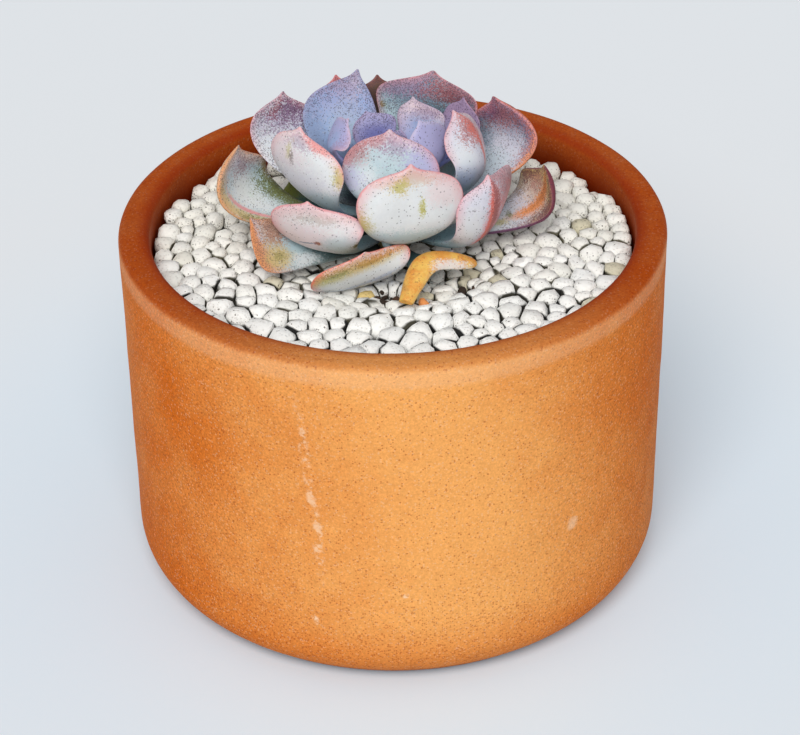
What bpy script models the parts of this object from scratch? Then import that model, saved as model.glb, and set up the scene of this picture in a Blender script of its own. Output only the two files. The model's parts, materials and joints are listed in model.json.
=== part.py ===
"""Echeveria rosette in a straight terracotta pot, dressed with pumice. Metres, +Z up.

The pot stands on z = 0 with its axis on x = y = 0. The camera side is -Y.
"""

import math
import random
from collections import namedtuple

import bmesh
import bpy
from mathutils import Matrix, Vector
from mathutils.geometry import delaunay_2d_cdt, intersect_point_line

MM = 0.001
GAP = 0.3 * MM

# Pot: straight cylinder with a rolled lip, a rounded foot and one drain hole.
POT_RADIUS = 50.0 * MM
POT_HEIGHT = 69.5 * MM
POT_WALL = 6.0 * MM
POT_FLOOR = 6.0 * MM
LIP_ROUND = 1.5 * MM
FOOT_ROUND = 8.7 * MM
INNER_ROUND = 3.0 * MM
DRAIN_RADIUS = 5.0 * MM
POT_STEPS = 48

# Filling: potting soil with a slab of fused pumice stones on it.
FILL_RADIUS = POT_RADIUS - POT_WALL - GAP
SOIL_TOP = 56.0 * MM
FILL_STEPS = 40
STONE_COUNT = 190
STONE_PITCH = 6.0 * MM
STONE_TOP = 64.3 * MM
GROOVE_DEPTH = 2.8 * MM
STONE_DIP = 3.6 * MM
DIP_RADIUS = 26.0 * MM
STONE_SEED = 11
PLAN_EPSILON = 1e-7

# Stem: stands off the pot's axis in a plain hole.
STEM_X = 0.0 * MM
STEM_Y = 2.0 * MM
STEM_RADIUS = 3.2 * MM
STEM_FOOT = 34.0 * MM
STEM_TOP = 79.0 * MM
STEM_STEPS = 12
STEM_TAPER = ((0.5, 0.45), (3.0, 0.70), (6.0, 0.90), (10.0, 1.0))
STEM_PLAN = Vector((STEM_X, STEM_Y))
HOLE_RADIUS = STEM_RADIUS + GAP
HOLE_STEPS = 16

# Leaf outline: share of the length, of the half-width and of the thickness. The last
# three stations draw in to the short pointed tip.
STATIONS = (0.0, 0.24, 0.51, 0.77, 0.92, 0.97, 1.0)
HALF_WIDTHS = (0.17, 0.34, 0.92, 1.15, 0.92, 0.13, 0.03)
THICKNESSES = (0.55, 0.85, 1.00, 0.80, 0.62, 0.36, 0.12)

# One leaf: azimuth and height where it leaves the stem, tip position, full width,
# lever along the start and the end of its bent midrib, rise at both ends, turn of the
# end against the start, roll at the tip, cupping, keel, thickness, share of the width on
# the left side, fullness near the base and near the tip, swelling of the outer face
# towards the edges, and tint.
Leaf = namedtuple(
    "Leaf",
    "azimuth height tip width out up rise0 rise1 turn roll cup keel thick left neck blunt swell tint",
    defaults=(0, 0, 0.30, 0.0, 2.2, 0.5, 1.0, 1.0, 0.0, "bloom"),
)

LEAVES = {
    # Low outer leaves, close to the stones.
    "leaf_low_left": Leaf(
        -153, 63.4, (-25.6, -5.4, 73.2), 17, 15, 10, 6, 66, -31, -30, 0.33, left=0.68,
        neck=0.62, blunt=0.5, tint="orange"
    ),
    "leaf_low_front": Leaf(
        -105, 63.1, (-5, -15.5, 71.6), 21.5, 12, 8, -8, 90, 0, 52, 0.20, left=0.47, blunt=1.1,
        tint="orange"
    ),
    "leaf_low_front_left": Leaf(
        -138, 66.0, (-15, -9.5, 78.6), 20.5, 13, 9.5, -5, 102, 0, 45, 0.25, thick=2.4, left=0.56
    ),
    "leaf_under_left": Leaf(
        -94, 66.4, (-1.6, -5.4, 68.6), 6.0, 5, 4, -5, 50, 0, 0, 0.25, thick=1.8, tint="green"
    ),
    "leaf_under_right": Leaf(
        -66, 63.8, (8.5, -11, 66.5), 11, 8, 4, -5, 40, 0, 0, 0.25, tint="green"
    ),
    "leaf_right": Leaf(
        2, 64.6, (27.5, 3.6, 78), 16, 20, 10, 0, 118, 0, 20, 0.45, left=0.55, neck=0.8,
        blunt=0.6, swell=0.40, tint="green"
    ),
    "leaf_rear_right": Leaf(52, 64.6, (17, 20, 76), 16, 14, 8, 0, 80, 0, 0, 0.30, tint="green"),
    "leaf_rear_side": Leaf(158, 63.4, (-19, 14, 70.5), 12, 14, 6, 0, 60, 0, 0, 0.25, tint="green"),
    "leaf_rear_left": Leaf(
        114, 65.4, (-10.3, 28, 84.6), 16, 15, 12, 0, 85, 0, 0, 0.30, tint="green"
    ),
    # Middle leaves: the rosette's outline.
    "leaf_left": Leaf(
        178, 67.2, (-27.6, 5.4, 82.1), 17.7, 20, 14, 0, 118, 0, -22, 0.35, left=0.46,
        blunt=0.85, swell=0.35, tint="green"
    ),
    "leaf_right_front": Leaf(
        -35, 66.2, (16.8, -7, 82), 22.5, 13, 13, -5, 100, 0, -10, 0.45, 1.0, left=0.73, swell=0.05
    ),
    "leaf_left_rear": Leaf(
        156, 68.8, (-19.8, 18.2, 86.3), 15.5, 15, 13, 10, 105, -15, -20, 0.35, left=0.54,
        tint="violet"
    ),
    "leaf_right_rear": Leaf(
        26, 68.0, (18.7, 15, 86.2), 17, 18.5, 14, 10, 122, 10, 20, 0.40, left=0.47, blunt=0.75,
        swell=0.3, tint="violet"
    ),
    "leaf_back_centre": Leaf(92, 67.6, (-2.5, 27, 85), 16, 14, 12, 5, 85, 0, 0, 0.30, tint="green"),
    "leaf_front": Leaf(
        -82, 68.8, (3.3, -12, 87.2), 22, 13, 13, -4, 105, 0, 0, 0.30, thick=2.4, left=0.52
    ),
    "leaf_front_left": Leaf(
        -168, 69.8, (-16.1, -1.5, 89.3), 20, 11, 13, 5, 108, 10, 50, 0.30, thick=2.4,
        left=0.56, blunt=0.75
    ),
    "leaf_back_left": Leaf(
        142, 70.2, (-6, 24, 87.7), 16, 14, 13, 20, 75, -110, 0, 0.35, left=0.60, neck=1.15,
        blunt=0.5, tint="violet"
    ),
    "leaf_back_right": Leaf(
        68, 70.4, (8, 23, 87.7), 20.7, 12, 13, 20, 88, 0, 0, 0.35, left=0.51, blunt=1.32,
        tint="violet"
    ),
    # Inner leaves, steeper and smaller.
    "leaf_inner_right": Leaf(
        -17, 71.2, (11, 4.8, 88.8), 15, 18.8, 12, 20, 120, 0, -66, 0.35, 0.6, left=0.54,
        neck=1.6, blunt=0.85, tint="lilac"
    ),
    "leaf_inner_front": Leaf(
        -100, 72.2, (-0.3, -1.0, 88.2), 20, 10, 10, 10, 115, 0, 0, 0.35, left=0.53, blunt=0.85
    ),
    "leaf_inner_rear": Leaf(
        46, 72.6, (13.3, 15.6, 85.8), 10.4, 9, 9, 30, 95, 0, 0, 0.30, thick=1.8, left=0.37,
        tint="lilac"
    ),
    "leaf_inner_back": Leaf(
        48, 74.0, (4, 13.5, 87.2), 10.5, 9, 8, 40, 85, 30, 0, 0.30, thick=1.8, left=0.32,
        tint="lilac"
    ),
    "leaf_core_left": Leaf(
        172, 75.2, (-7.6, 5.4, 87.2), 10, 14, 10, 35, 122, 0, 80, 0.30, thick=1.5, left=0.50,
        tint="violet"
    ),
    "leaf_core_right": Leaf(
        -15, 75.4, (4.9, 2.6, 88), 12.5, 9.5, 8, 30, 115, 0, -65, 0.30, thick=1.5, blunt=0.6,
        tint="lilac"
    ),
    "leaf_core_back": Leaf(
        110, 76.0, (-4.6, 10.1, 86.2), 10, 5, 6, 45, 80, 0, 0, 0.30, thick=1.5, left=0.42,
        tint="violet"
    ),
    "leaf_bud_left": Leaf(
        215, 77.0, (-2.4, 1.6, 85), 4, 3, 4, 60, 95, 0, 0, 0.25, thick=1.1, tint="lilac"
    ),
    "leaf_bud_right": Leaf(
        60, 77.3, (1.6, 4.2, 85.5), 4, 3, 4, 60, 95, 0, 0, 0.25, thick=1.1, tint="lilac"
    ),
}

# Withered leaf lying on the stones: points along its bent ridge, and its section.
WITHERED_PATH = (
    (2.0, -21.6, 65.0),
    (3.6, -17.2, 67.2),
    (5.6, -13.2, 69.2),
    (10.0, -12.2, 68.6),
    (15.5, -11.4, 66.6),
)
WITHERED_HALF_WIDTHS = (1.6, 2.6, 3.2, 2.8, 1.5)
WITHERED_THICK = 1.4

TINTS = {
    "bloom": (0.72, 0.80, 0.80),
    "violet": (0.36, 0.38, 0.52),
    "lilac": (0.46, 0.50, 0.70),
    "green": (0.38, 0.50, 0.38),
    "orange": (0.72, 0.42, 0.16),
}


def clear_scene():
    for obj in list(bpy.data.objects):
        bpy.data.objects.remove(obj, do_unlink=True)


def new_collection(name):
    made = bpy.data.collections.new(name)
    bpy.context.scene.collection.children.link(made)
    return made


def material(name, colour, roughness):
    made = bpy.data.materials.new(name)
    made.use_nodes = True
    shader = made.node_tree.nodes["Principled BSDF"]
    shader.inputs["Base Color"].default_value = (*colour, 1.0)
    shader.inputs["Roughness"].default_value = roughness
    made.diffuse_color = (*colour, 1.0)
    return made


def object_from(bm, name, collection, mat=None, smooth=True):
    mesh = bpy.data.meshes.new(name)
    bm.to_mesh(mesh)
    bm.free()
    obj = bpy.data.objects.new(name, mesh)
    collection.objects.link(obj)
    if mat:
        mesh.materials.append(mat)
    if smooth:
        mesh.shade_smooth()
    return obj


def arc(centre, radius, start, end, steps):
    """Points of a circular arc in the profile plane, from one angle to the other."""
    angles = [start + (end - start) * i / steps for i in range(steps + 1)]
    return [
        (centre[0] + radius * math.cos(math.radians(a)), centre[1] + radius * math.sin(math.radians(a)))
        for a in angles
    ]


def revolve(name, profile, steps, collection, mat, closed):
    """Turns a profile in the XZ plane about Z with a Screw modifier."""
    bm = bmesh.new()
    verts = [bm.verts.new((x, 0.0, z)) for x, z in profile]
    for first, second in zip(verts, verts[1:]):
        bm.edges.new((first, second))
    if closed:
        bm.edges.new((verts[-1], verts[0]))
    obj = object_from(bm, name, collection, mat, smooth=False)
    screw = obj.modifiers.new("turn", "SCREW")
    screw.steps = steps
    screw.render_steps = steps
    screw.use_merge_vertices = True
    screw.merge_threshold = 0.00001
    screw.use_smooth_shade = True
    return obj


def cylinder(name, radius, bottom, top, steps, collection):
    bm = bmesh.new()
    bmesh.ops.create_cone(
        bm, cap_ends=True, segments=steps, radius1=radius, radius2=radius, depth=top - bottom
    )
    obj = object_from(bm, name, collection, smooth=False)
    obj.location = (STEM_X, STEM_Y, (bottom + top) / 2)
    return obj


def cut_away(obj, cutter):
    cut = obj.modifiers.new("hole", "BOOLEAN")
    cut.operation = "DIFFERENCE"
    cut.solver = "EXACT"
    cut.object = cutter


def build_pot(collection):
    top = POT_HEIGHT
    inner = POT_RADIUS - POT_WALL
    profile = arc((POT_RADIUS - LIP_ROUND, top - LIP_ROUND), LIP_ROUND, 90, 0, 3)
    profile += arc((POT_RADIUS - FOOT_ROUND, FOOT_ROUND), FOOT_ROUND, 0, -90, 4)
    profile += [(DRAIN_RADIUS, 0.0), (DRAIN_RADIUS, POT_FLOOR)]
    profile += arc((inner - INNER_ROUND, POT_FLOOR + INNER_ROUND), INNER_ROUND, -90, 0, 2)
    profile += arc((inner + LIP_ROUND, top - LIP_ROUND), LIP_ROUND, 180, 90, 3)
    clay = material("terracotta", (0.60, 0.25, 0.09), 0.85)
    return revolve("pot", profile, POT_STEPS, collection, clay, closed=True)


def build_soil(collection, cutters):
    rounding = INNER_ROUND
    floor = POT_FLOOR + GAP
    profile = [(0.0, SOIL_TOP), (FILL_RADIUS, SOIL_TOP)]
    profile += arc((FILL_RADIUS - rounding, floor + rounding), rounding, 0, -90, 2)
    profile += [(0.0, floor)]
    earth = material("soil", (0.05, 0.035, 0.025), 0.95)
    soil = revolve("soil", profile, FILL_STEPS, collection, earth, closed=False)
    hole = cylinder("soil_hole", HOLE_RADIUS, STEM_FOOT - GAP, SOIL_TOP + 5 * MM, HOLE_STEPS, cutters)
    cut_away(soil, hole)
    return soil


def stone_sites(rng):
    """Plan centres of the stones, in a sunflower layout that leaves the stem free."""
    sites = []
    for index in range(STONE_COUNT):
        radius = (FILL_RADIUS - 0.45 * STONE_PITCH) * math.sqrt((index + 0.5) / STONE_COUNT)
        angle = index * math.pi * (3 - math.sqrt(5))
        site = Vector((radius * math.cos(angle), radius * math.sin(angle)))
        site += Vector((rng.uniform(-1, 1), rng.uniform(-1, 1))) * 0.12 * STONE_PITCH
        inside = site.length < FILL_RADIUS - 0.35 * STONE_PITCH
        if inside and (site - STEM_PLAN).length > HOLE_RADIUS + 0.4 * STONE_PITCH:
            sites.append(site)
    return sites


def circumcentre(a, b, c):
    twice = 2 * ((b - a).x * (c - a).y - (b - a).y * (c - a).x)
    p, q = (b - a).length_squared, (c - a).length_squared
    x = ((c - a).y * p - (b - a).y * q) / twice
    y = ((b - a).x * q - (c - a).x * p) / twice
    return a + Vector((x, y))


def clear_of_hole(a, b):
    nearest, share = intersect_point_line(STEM_PLAN, a, b)
    nearest = a if share < 0 else b if share > 1 else nearest
    return (nearest.to_2d() - STEM_PLAN).length > HOLE_RADIUS + 0.4 * MM


def grooves(sites):
    """Low points where three stones meet, and the pairs of them that a groove joins."""
    triangles = delaunay_2d_cdt(sites, [], [], 0, PLAN_EPSILON)[2]
    points, sides, pairs = [], {}, []
    for corners in triangles:
        point = circumcentre(*(sites[i] for i in corners))
        near_wall = point.length > FILL_RADIUS - 0.8 * MM
        if near_wall or (point - STEM_PLAN).length < HOLE_RADIUS + 0.5 * MM:
            continue
        points.append(point)
        for i in range(3):
            side = frozenset((corners[i], corners[(i + 1) % 3]))
            other = sides.setdefault(side, len(points) - 1)
            if other != len(points) - 1 and clear_of_hole(points[other], point):
                pairs.append((other, len(points) - 1))
    return points, pairs


def circle(centre, radius, count):
    turns = [math.tau * i / count for i in range(count)]
    return [centre + Vector((math.cos(t), math.sin(t))) * radius for t in turns]


def loop_edges(start, count):
    return [(start + i, start + (i + 1) % count) for i in range(count)]


def dressing_level(plan):
    """Height of the stones' tops: lower close to the stem, under the leaves."""
    away = (plan - STEM_PLAN).length
    return STONE_TOP - STONE_DIP * max(0.0, 1 - (away / DIP_RADIUS) ** 4)


def skin(bm, points, heights, edges, rims):
    """Triangles over the plan points at their heights. Returns the vertices of the rims."""
    coords, _, faces, origins, _, _ = delaunay_2d_cdt(points, edges, [], 0, PLAN_EPSILON)
    verts, index_of = [], {}
    for i, plan in enumerate(coords):
        height = heights[origins[i][0]] if origins[i] else dressing_level(plan) - GROOVE_DEPTH
        verts.append(bm.verts.new((plan.x, plan.y, height)))
        for source in origins[i]:
            index_of[source] = i
    for corners in faces:
        middle = sum((coords[i] for i in corners), Vector((0, 0))) / 3
        if (middle - STEM_PLAN).length > HOLE_RADIUS * 0.97:
            bm.faces.new([verts[i] for i in corners])
    return [verts[index_of[i]] for i in range(rims)]


def build_pumice(collection):
    """One slab of fused stones: domed tops, grooves between, a plain hole for the stem."""
    rng = random.Random(STONE_SEED)
    rims = circle(Vector((0, 0)), FILL_RADIUS, FILL_STEPS)
    rims += circle(STEM_PLAN, HOLE_RADIUS, HOLE_STEPS)
    edges = loop_edges(0, FILL_STEPS) + loop_edges(FILL_STEPS, HOLE_STEPS)
    points = list(rims)
    heights = [dressing_level(p) - GROOVE_DEPTH for p in rims]
    sites = stone_sites(rng)
    low, pairs = grooves(sites)
    edges += [(len(points) + i, len(points) + j) for i, j in pairs]
    points += low
    heights += [dressing_level(p) - GROOVE_DEPTH for p in low]
    for site in sites:
        top = dressing_level(site) + rng.uniform(-0.5, 0.5) * MM
        points.append(site)
        heights.append(top)
        for shoulder in circle(site, STONE_PITCH * 0.34, 6):
            out = (shoulder - site) * rng.uniform(0.8, 1.15)
            shoulder = site + Matrix.Rotation(rng.uniform(-0.25, 0.25), 2) @ out
            limit = (FILL_RADIUS - 0.9 * MM) / shoulder.length
            points.append(shoulder * min(1.0, limit))
            heights.append(top - rng.uniform(0.3, 1.1) * MM)
    bm = bmesh.new()
    upper = skin(bm, points, heights, edges, len(rims))
    flat = [SOIL_TOP + GAP] * len(rims)
    lower = skin(bm, rims, flat, edges[: len(rims)], len(rims))
    for i, j in edges[: len(rims)]:
        bm.faces.new((upper[i], upper[j], lower[j], lower[i]))
    bmesh.ops.recalc_face_normals(bm, faces=bm.faces)
    pale = material("pumice", (0.80, 0.77, 0.70), 0.95)
    return object_from(bm, "pumice", collection, pale, smooth=False)


def build_stem(collection):
    r = STEM_RADIUS
    profile = [(0.0, STEM_TOP)]
    profile += [(share * r, STEM_TOP - below * MM) for below, share in STEM_TAPER]
    profile += [
        (r, SOIL_TOP - 8 * MM),
        (0.55 * r, STEM_FOOT + 6 * MM),
        (0.15 * r, STEM_FOOT + 0.3 * MM),
        (0.0, STEM_FOOT),
    ]
    wood = material("stem", (0.40, 0.42, 0.25), 0.8)
    obj = revolve("stem", profile, STEM_STEPS, collection, wood, closed=False)
    obj.location = (STEM_X, STEM_Y, 0.0)
    return obj


def stem_radius_at(height):
    """Radius of the stem where a leaf joins it."""
    below = (STEM_TOP - height) / MM
    for (d0, s0), (d1, s1) in zip(STEM_TAPER, STEM_TAPER[1:]):
        if below <= d1:
            return STEM_RADIUS * (s0 + (s1 - s0) * max(0.0, below - d0) / (d1 - d0))
    return STEM_RADIUS


def heading(azimuth, rise):
    a, e = math.radians(azimuth), math.radians(rise)
    return Vector((math.cos(a) * math.cos(e), math.sin(a) * math.cos(e), math.sin(e)))


def midrib_points(leaf, count):
    """Points of the midrib: a cubic from the stem to the tip."""
    height = leaf.height * MM
    reach = stem_radius_at(height - 0.6 * MM) + GAP
    start = Vector((STEM_X, STEM_Y, height)) + heading(leaf.azimuth, 0.0) * reach
    tip = Vector(leaf.tip) * MM
    near = start + heading(leaf.azimuth, leaf.rise0) * leaf.out * MM
    far = tip - heading(leaf.azimuth + leaf.turn, leaf.rise1) * leaf.up * MM
    points = []
    for i in range(count):
        t = i / (count - 1)
        s = 1 - t
        points.append(start * s**3 + near * (3 * s * s * t) + far * (3 * s * t * t) + tip * t**3)
    return points


def frames_along(points):
    """Tangent, side and upper-face normal at each point, carried along without twist."""
    tangents = []
    for i in range(len(points)):
        before, after = points[max(i - 1, 0)], points[min(i + 1, len(points) - 1)]
        tangents.append((after - before).normalized())
    up = Vector((0, 0, 1))
    normal = (up - tangents[0] * up.dot(tangents[0])).normalized()
    frames = []
    for tangent in tangents:
        normal = (normal - tangent * normal.dot(tangent)).normalized()
        frames.append((tangent, tangent.cross(normal), normal))
    return frames


def section(half, thick, cup, drop, left, swell, keeled):
    """(side, normal) pairs round a leaf: edge, upper face, edge, lower face."""
    lo, hi = -2 * half * left, 2 * half * (1 - left)
    outer = 0.50 + swell
    rim = cup * half
    mid = 0.30 * rim
    if not keeled:
        return (
            (lo, rim),
            (0.50 * lo, mid + 0.38 * thick),
            (0.50 * hi, mid + 0.38 * thick),
            (hi, rim),
            (outer * hi, mid - 0.62 * thick),
            (outer * lo, mid - 0.62 * thick),
        )
    return (
        (lo, rim),
        (0.55 * lo, mid + 0.42 * thick),
        (0.0, 0.34 * thick - 0.5 * drop),
        (0.55 * hi, mid + 0.42 * thick),
        (hi, rim),
        (outer * hi, mid - 0.50 * thick),
        (0.0, -0.66 * thick - drop),
        (outer * lo, mid - 0.50 * thick),
    )


def loft(rings):
    """Closed skin over rings of points, with an edge crease round the first ring."""
    bm = bmesh.new()
    crease = bm.edges.layers.float.new("crease_edge")
    rows = [[bm.verts.new(point) for point in ring] for ring in rings]
    for lower, upper in zip(rows, rows[1:]):
        for i in range(len(lower)):
            j = (i + 1) % len(lower)
            bm.faces.new((lower[i], lower[j], upper[j], upper[i]))
    bm.faces.new(reversed(rows[0]))
    bm.faces.new(rows[-1])
    for i, vert in enumerate(rows[0]):
        edge = bm.edges.get((vert, rows[0][(i + 1) % len(rows[0])]))
        edge[crease] = 1.0
    bmesh.ops.recalc_face_normals(bm, faces=bm.faces)
    return bm


def build_leaf(name, leaf, collection):
    fine = 51
    points = midrib_points(leaf, fine)
    frames = frames_along(points)
    shoulder = max(1.0, leaf.blunt) ** 2
    fullness = (1.0, leaf.neck, leaf.neck, 1.0, leaf.blunt, shoulder, 1.0)
    rings = []
    for share, width, full, thick in zip(STATIONS, HALF_WIDTHS, fullness, THICKNESSES):
        at = round(share * (fine - 1))
        tangent, side, normal = frames[at]
        roll = Matrix.Rotation(math.radians(leaf.roll) * share, 3, tangent)
        side, normal = roll @ side, roll @ normal
        half = width * full * leaf.width / 2 * MM
        bend = leaf.cup * share
        deep = thick * leaf.thick * MM
        drop = leaf.keel * share * deep
        ring = section(half, deep, bend, drop, leaf.left, leaf.swell, leaf.keel > 0)
        rings.append([points[at] + side * x + normal * y for x, y in ring])
    bm = loft(rings)
    obj = object_from(bm, name, collection, material(name, TINTS[leaf.tint], 0.6))
    smooth_cage(obj)
    return obj


def smooth_cage(obj):
    soften = obj.modifiers.new("soften", "SUBSURF")
    soften.levels = 1
    soften.render_levels = 1


def build_withered_leaf(collection):
    points = [Vector(p) * MM for p in WITHERED_PATH]
    frames = frames_along(points)
    rings = []
    for point, (_, side, normal), half in zip(points, frames, WITHERED_HALF_WIDTHS):
        ring = section(half * MM, WITHERED_THICK * MM, -0.5, 0.0, 0.5, 0.0, False)
        rings.append([point + side * x + normal * y for x, y in ring])
    bm = loft(rings)
    dry = material("leaf_withered", (0.72, 0.38, 0.08), 0.7)
    obj = object_from(bm, "leaf_withered", collection, dry)
    smooth_cage(obj)
    return obj


def main():
    clear_scene()
    parts = new_collection("potted_echeveria")
    cutters = new_collection("cutters")
    build_pot(parts)
    build_soil(parts, cutters)
    build_pumice(parts)
    build_stem(parts)
    for name, leaf in LEAVES.items():
        build_leaf(name, leaf, parts)
    build_withered_leaf(parts)
    for obj in cutters.objects:
        obj.hide_render = True
        obj.display_type = "WIRE"


main()
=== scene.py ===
"""Looks of the potted echeveria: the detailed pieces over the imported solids, and the stage.

Metres, +Z up. The pot stands on z = 0 with its axis on x = y = 0, and the camera side is -Y.
"""

import json
import math
from collections import namedtuple

import bmesh
import bpy
import numpy as np
from bpy.props import FloatProperty, FloatVectorProperty, IntProperty, PointerProperty
from mathutils import Matrix, Vector, noise
from mathutils.kdtree import KDTree

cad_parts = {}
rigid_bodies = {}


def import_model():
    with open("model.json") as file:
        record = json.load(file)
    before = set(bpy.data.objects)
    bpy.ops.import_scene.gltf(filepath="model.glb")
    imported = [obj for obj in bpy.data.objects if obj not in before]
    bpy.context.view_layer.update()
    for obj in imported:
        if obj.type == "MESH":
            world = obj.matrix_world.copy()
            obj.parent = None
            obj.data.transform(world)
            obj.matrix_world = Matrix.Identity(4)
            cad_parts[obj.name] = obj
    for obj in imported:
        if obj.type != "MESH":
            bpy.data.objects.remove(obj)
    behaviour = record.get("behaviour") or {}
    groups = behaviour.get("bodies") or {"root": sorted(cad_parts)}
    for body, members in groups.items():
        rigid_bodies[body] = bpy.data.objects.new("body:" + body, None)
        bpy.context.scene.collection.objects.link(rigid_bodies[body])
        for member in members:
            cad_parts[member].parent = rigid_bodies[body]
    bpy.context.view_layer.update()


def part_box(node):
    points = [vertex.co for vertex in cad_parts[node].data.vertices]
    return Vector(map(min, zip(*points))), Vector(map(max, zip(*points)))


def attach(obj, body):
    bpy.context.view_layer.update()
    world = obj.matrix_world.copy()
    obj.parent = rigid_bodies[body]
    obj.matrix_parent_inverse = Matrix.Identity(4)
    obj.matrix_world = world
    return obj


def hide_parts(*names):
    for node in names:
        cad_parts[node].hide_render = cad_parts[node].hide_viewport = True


bl_info = {
    "name": "Potted Echeveria",
    "version": (1, 0, 0),
    "blender": (4, 5, 0),
    "location": "3D View > Sidebar > Echeveria",
    "description": "Rosette succulent in a terracotta pot dressed with pumice",
    "category": "Add Mesh",
}

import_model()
POT_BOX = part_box("pot")
SOIL_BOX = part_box("soil")
PUMICE_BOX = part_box("pumice")
STEM_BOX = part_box("stem")

MM = 0.001

STEM_CENTRE = (STEM_BOX[0] + STEM_BOX[1]) / 2
# How far below the stem's top in mm, and the share of the full radius there.
STEM_TAPER = ((0.5, 0.45), (3.0, 0.70), (6.0, 0.90), (10.0, 1.0))
# Shares of the stem's radius: of its root by mm above the root's tip, and of its upper end,
# between the leaves, by height in mm.
ROOT_OUTLINE = ((0.10, 0.0), (0.16, 0.5), (0.55, 6.0))
NECK_OUTLINE = ((0.95, 70.5), (0.9, 73.0), (0.7, 76.0), (0.45, 78.3))
# Heights in mm of the rings between the root and the neck.
STEM_HEIGHTS = [48 + 0.7 * i for i in range(31)]
# The inner radius of the pot, which the soil and the stones fill, and the hole for the plant.
FILL_RADIUS = SOIL_BOX[1].x
HOLE_RADIUS = 3.5 * MM

# How finely the pieces are divided: rows of the pot's wall, rings on the soil's top, faces
# round the soil and the stem, and points along a leaf's midrib.
WALL_ROWS = 24
TOP_RINGS = 30
SOIL_STEPS = 144
STEM_STEPS = 36
MIDRIB_POINTS = 51

# How the stones settle: steps, how near two may come as a share of their radii together, the
# share of what is missing that each step puts right, and how far a step lets them sink.
SETTLING_STEPS = 150
CLOSEST = 0.98
EASING = 0.35
SINKING = 0.02 * MM
# Keeps a distance that is divided by above zero.
TINY = 1e-9
# How many shapes the stones and the crumbs are drawn from.
PEBBLE_SHAPES = 12
CRUMB_SHAPES = 5

# Where soil shows between the stones: place and radius in mm.
SOIL_PATCHES = ((-1.0, -13.5, 2.7), (12.8, -13.0, 2.2))
# Places in mm of the one stone stained yellow and of the one rusty crumb.
YELLOW_STONE = (-6.7, -15.4)
RUSTY_CRUMB = (5.5, -19.8)
# Tones past 1 mark a stone or crumb that has a colour of its own.
OWN_COLOUR = 2.0


def srgb(red, green, blue):
    """Linear colour of a screen colour given from 0 to 255."""
    linear = []
    for value in (red, green, blue):
        share = value / 255
        linear.append(share / 12.92 if share <= 0.04045 else ((share + 0.055) / 1.055) ** 2.4)
    return tuple(linear)


# What a node group's colours are until they are given.
NEUTRAL = (0.5, 0.5, 0.5, 1.0)

# Colours of the leaves, by a plain name each.
PALETTE = {
    "chalk": srgb(226, 230, 232),
    "chalk_pink": srgb(230, 210, 216),
    "pearl": srgb(208, 208, 220),
    "milk_teal": srgb(184, 206, 212),
    "sea": srgb(138, 172, 178),
    "deep_sea": srgb(62, 96, 98),
    "ink": srgb(34, 50, 54),
    "moss": srgb(104, 110, 48),
    "lichen": srgb(192, 188, 118),
    "straw": srgb(212, 190, 130),
    "powder_blue": srgb(152, 174, 214),
    "periwinkle": srgb(140, 152, 206),
    "slate": srgb(116, 130, 158),
    "steel": srgb(118, 142, 158),
    "lilac": srgb(178, 176, 216),
    "violet": srgb(112, 114, 174),
    "indigo": srgb(68, 66, 120),
    "mauve": srgb(160, 136, 166),
    "plum": srgb(118, 80, 112),
    "wine": srgb(116, 48, 62),
    "brick": srgb(172, 100, 98),
    "rose": srgb(228, 146, 150),
    "coral": srgb(226, 110, 92),
    "blush": srgb(236, 190, 192),
    "orange": srgb(226, 146, 82),
    "amber": srgb(212, 154, 70),
    "rust": srgb(156, 88, 52),
    "umber": srgb(84, 58, 42),
    "sand": srgb(210, 186, 162),
}

# One leaf, in mm and degrees: azimuth and height where it leaves the stem, tip position, full
# width, lever along the start and the end of its bent midrib, rise at both ends, turn of the
# end against the start, roll at the tip, cupping, keel, thickness, share of the width on the
# left side, fullness near the base and near the tip, and swelling of the outer face.
Leaf = namedtuple(
    "Leaf",
    "azimuth height tip width out up rise0 rise1 turn roll cup keel thick left neck blunt swell",
    defaults=(0, 0, 0.30, 0.0, 2.2, 0.5, 1.0, 1.0, 0.0),
)

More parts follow.
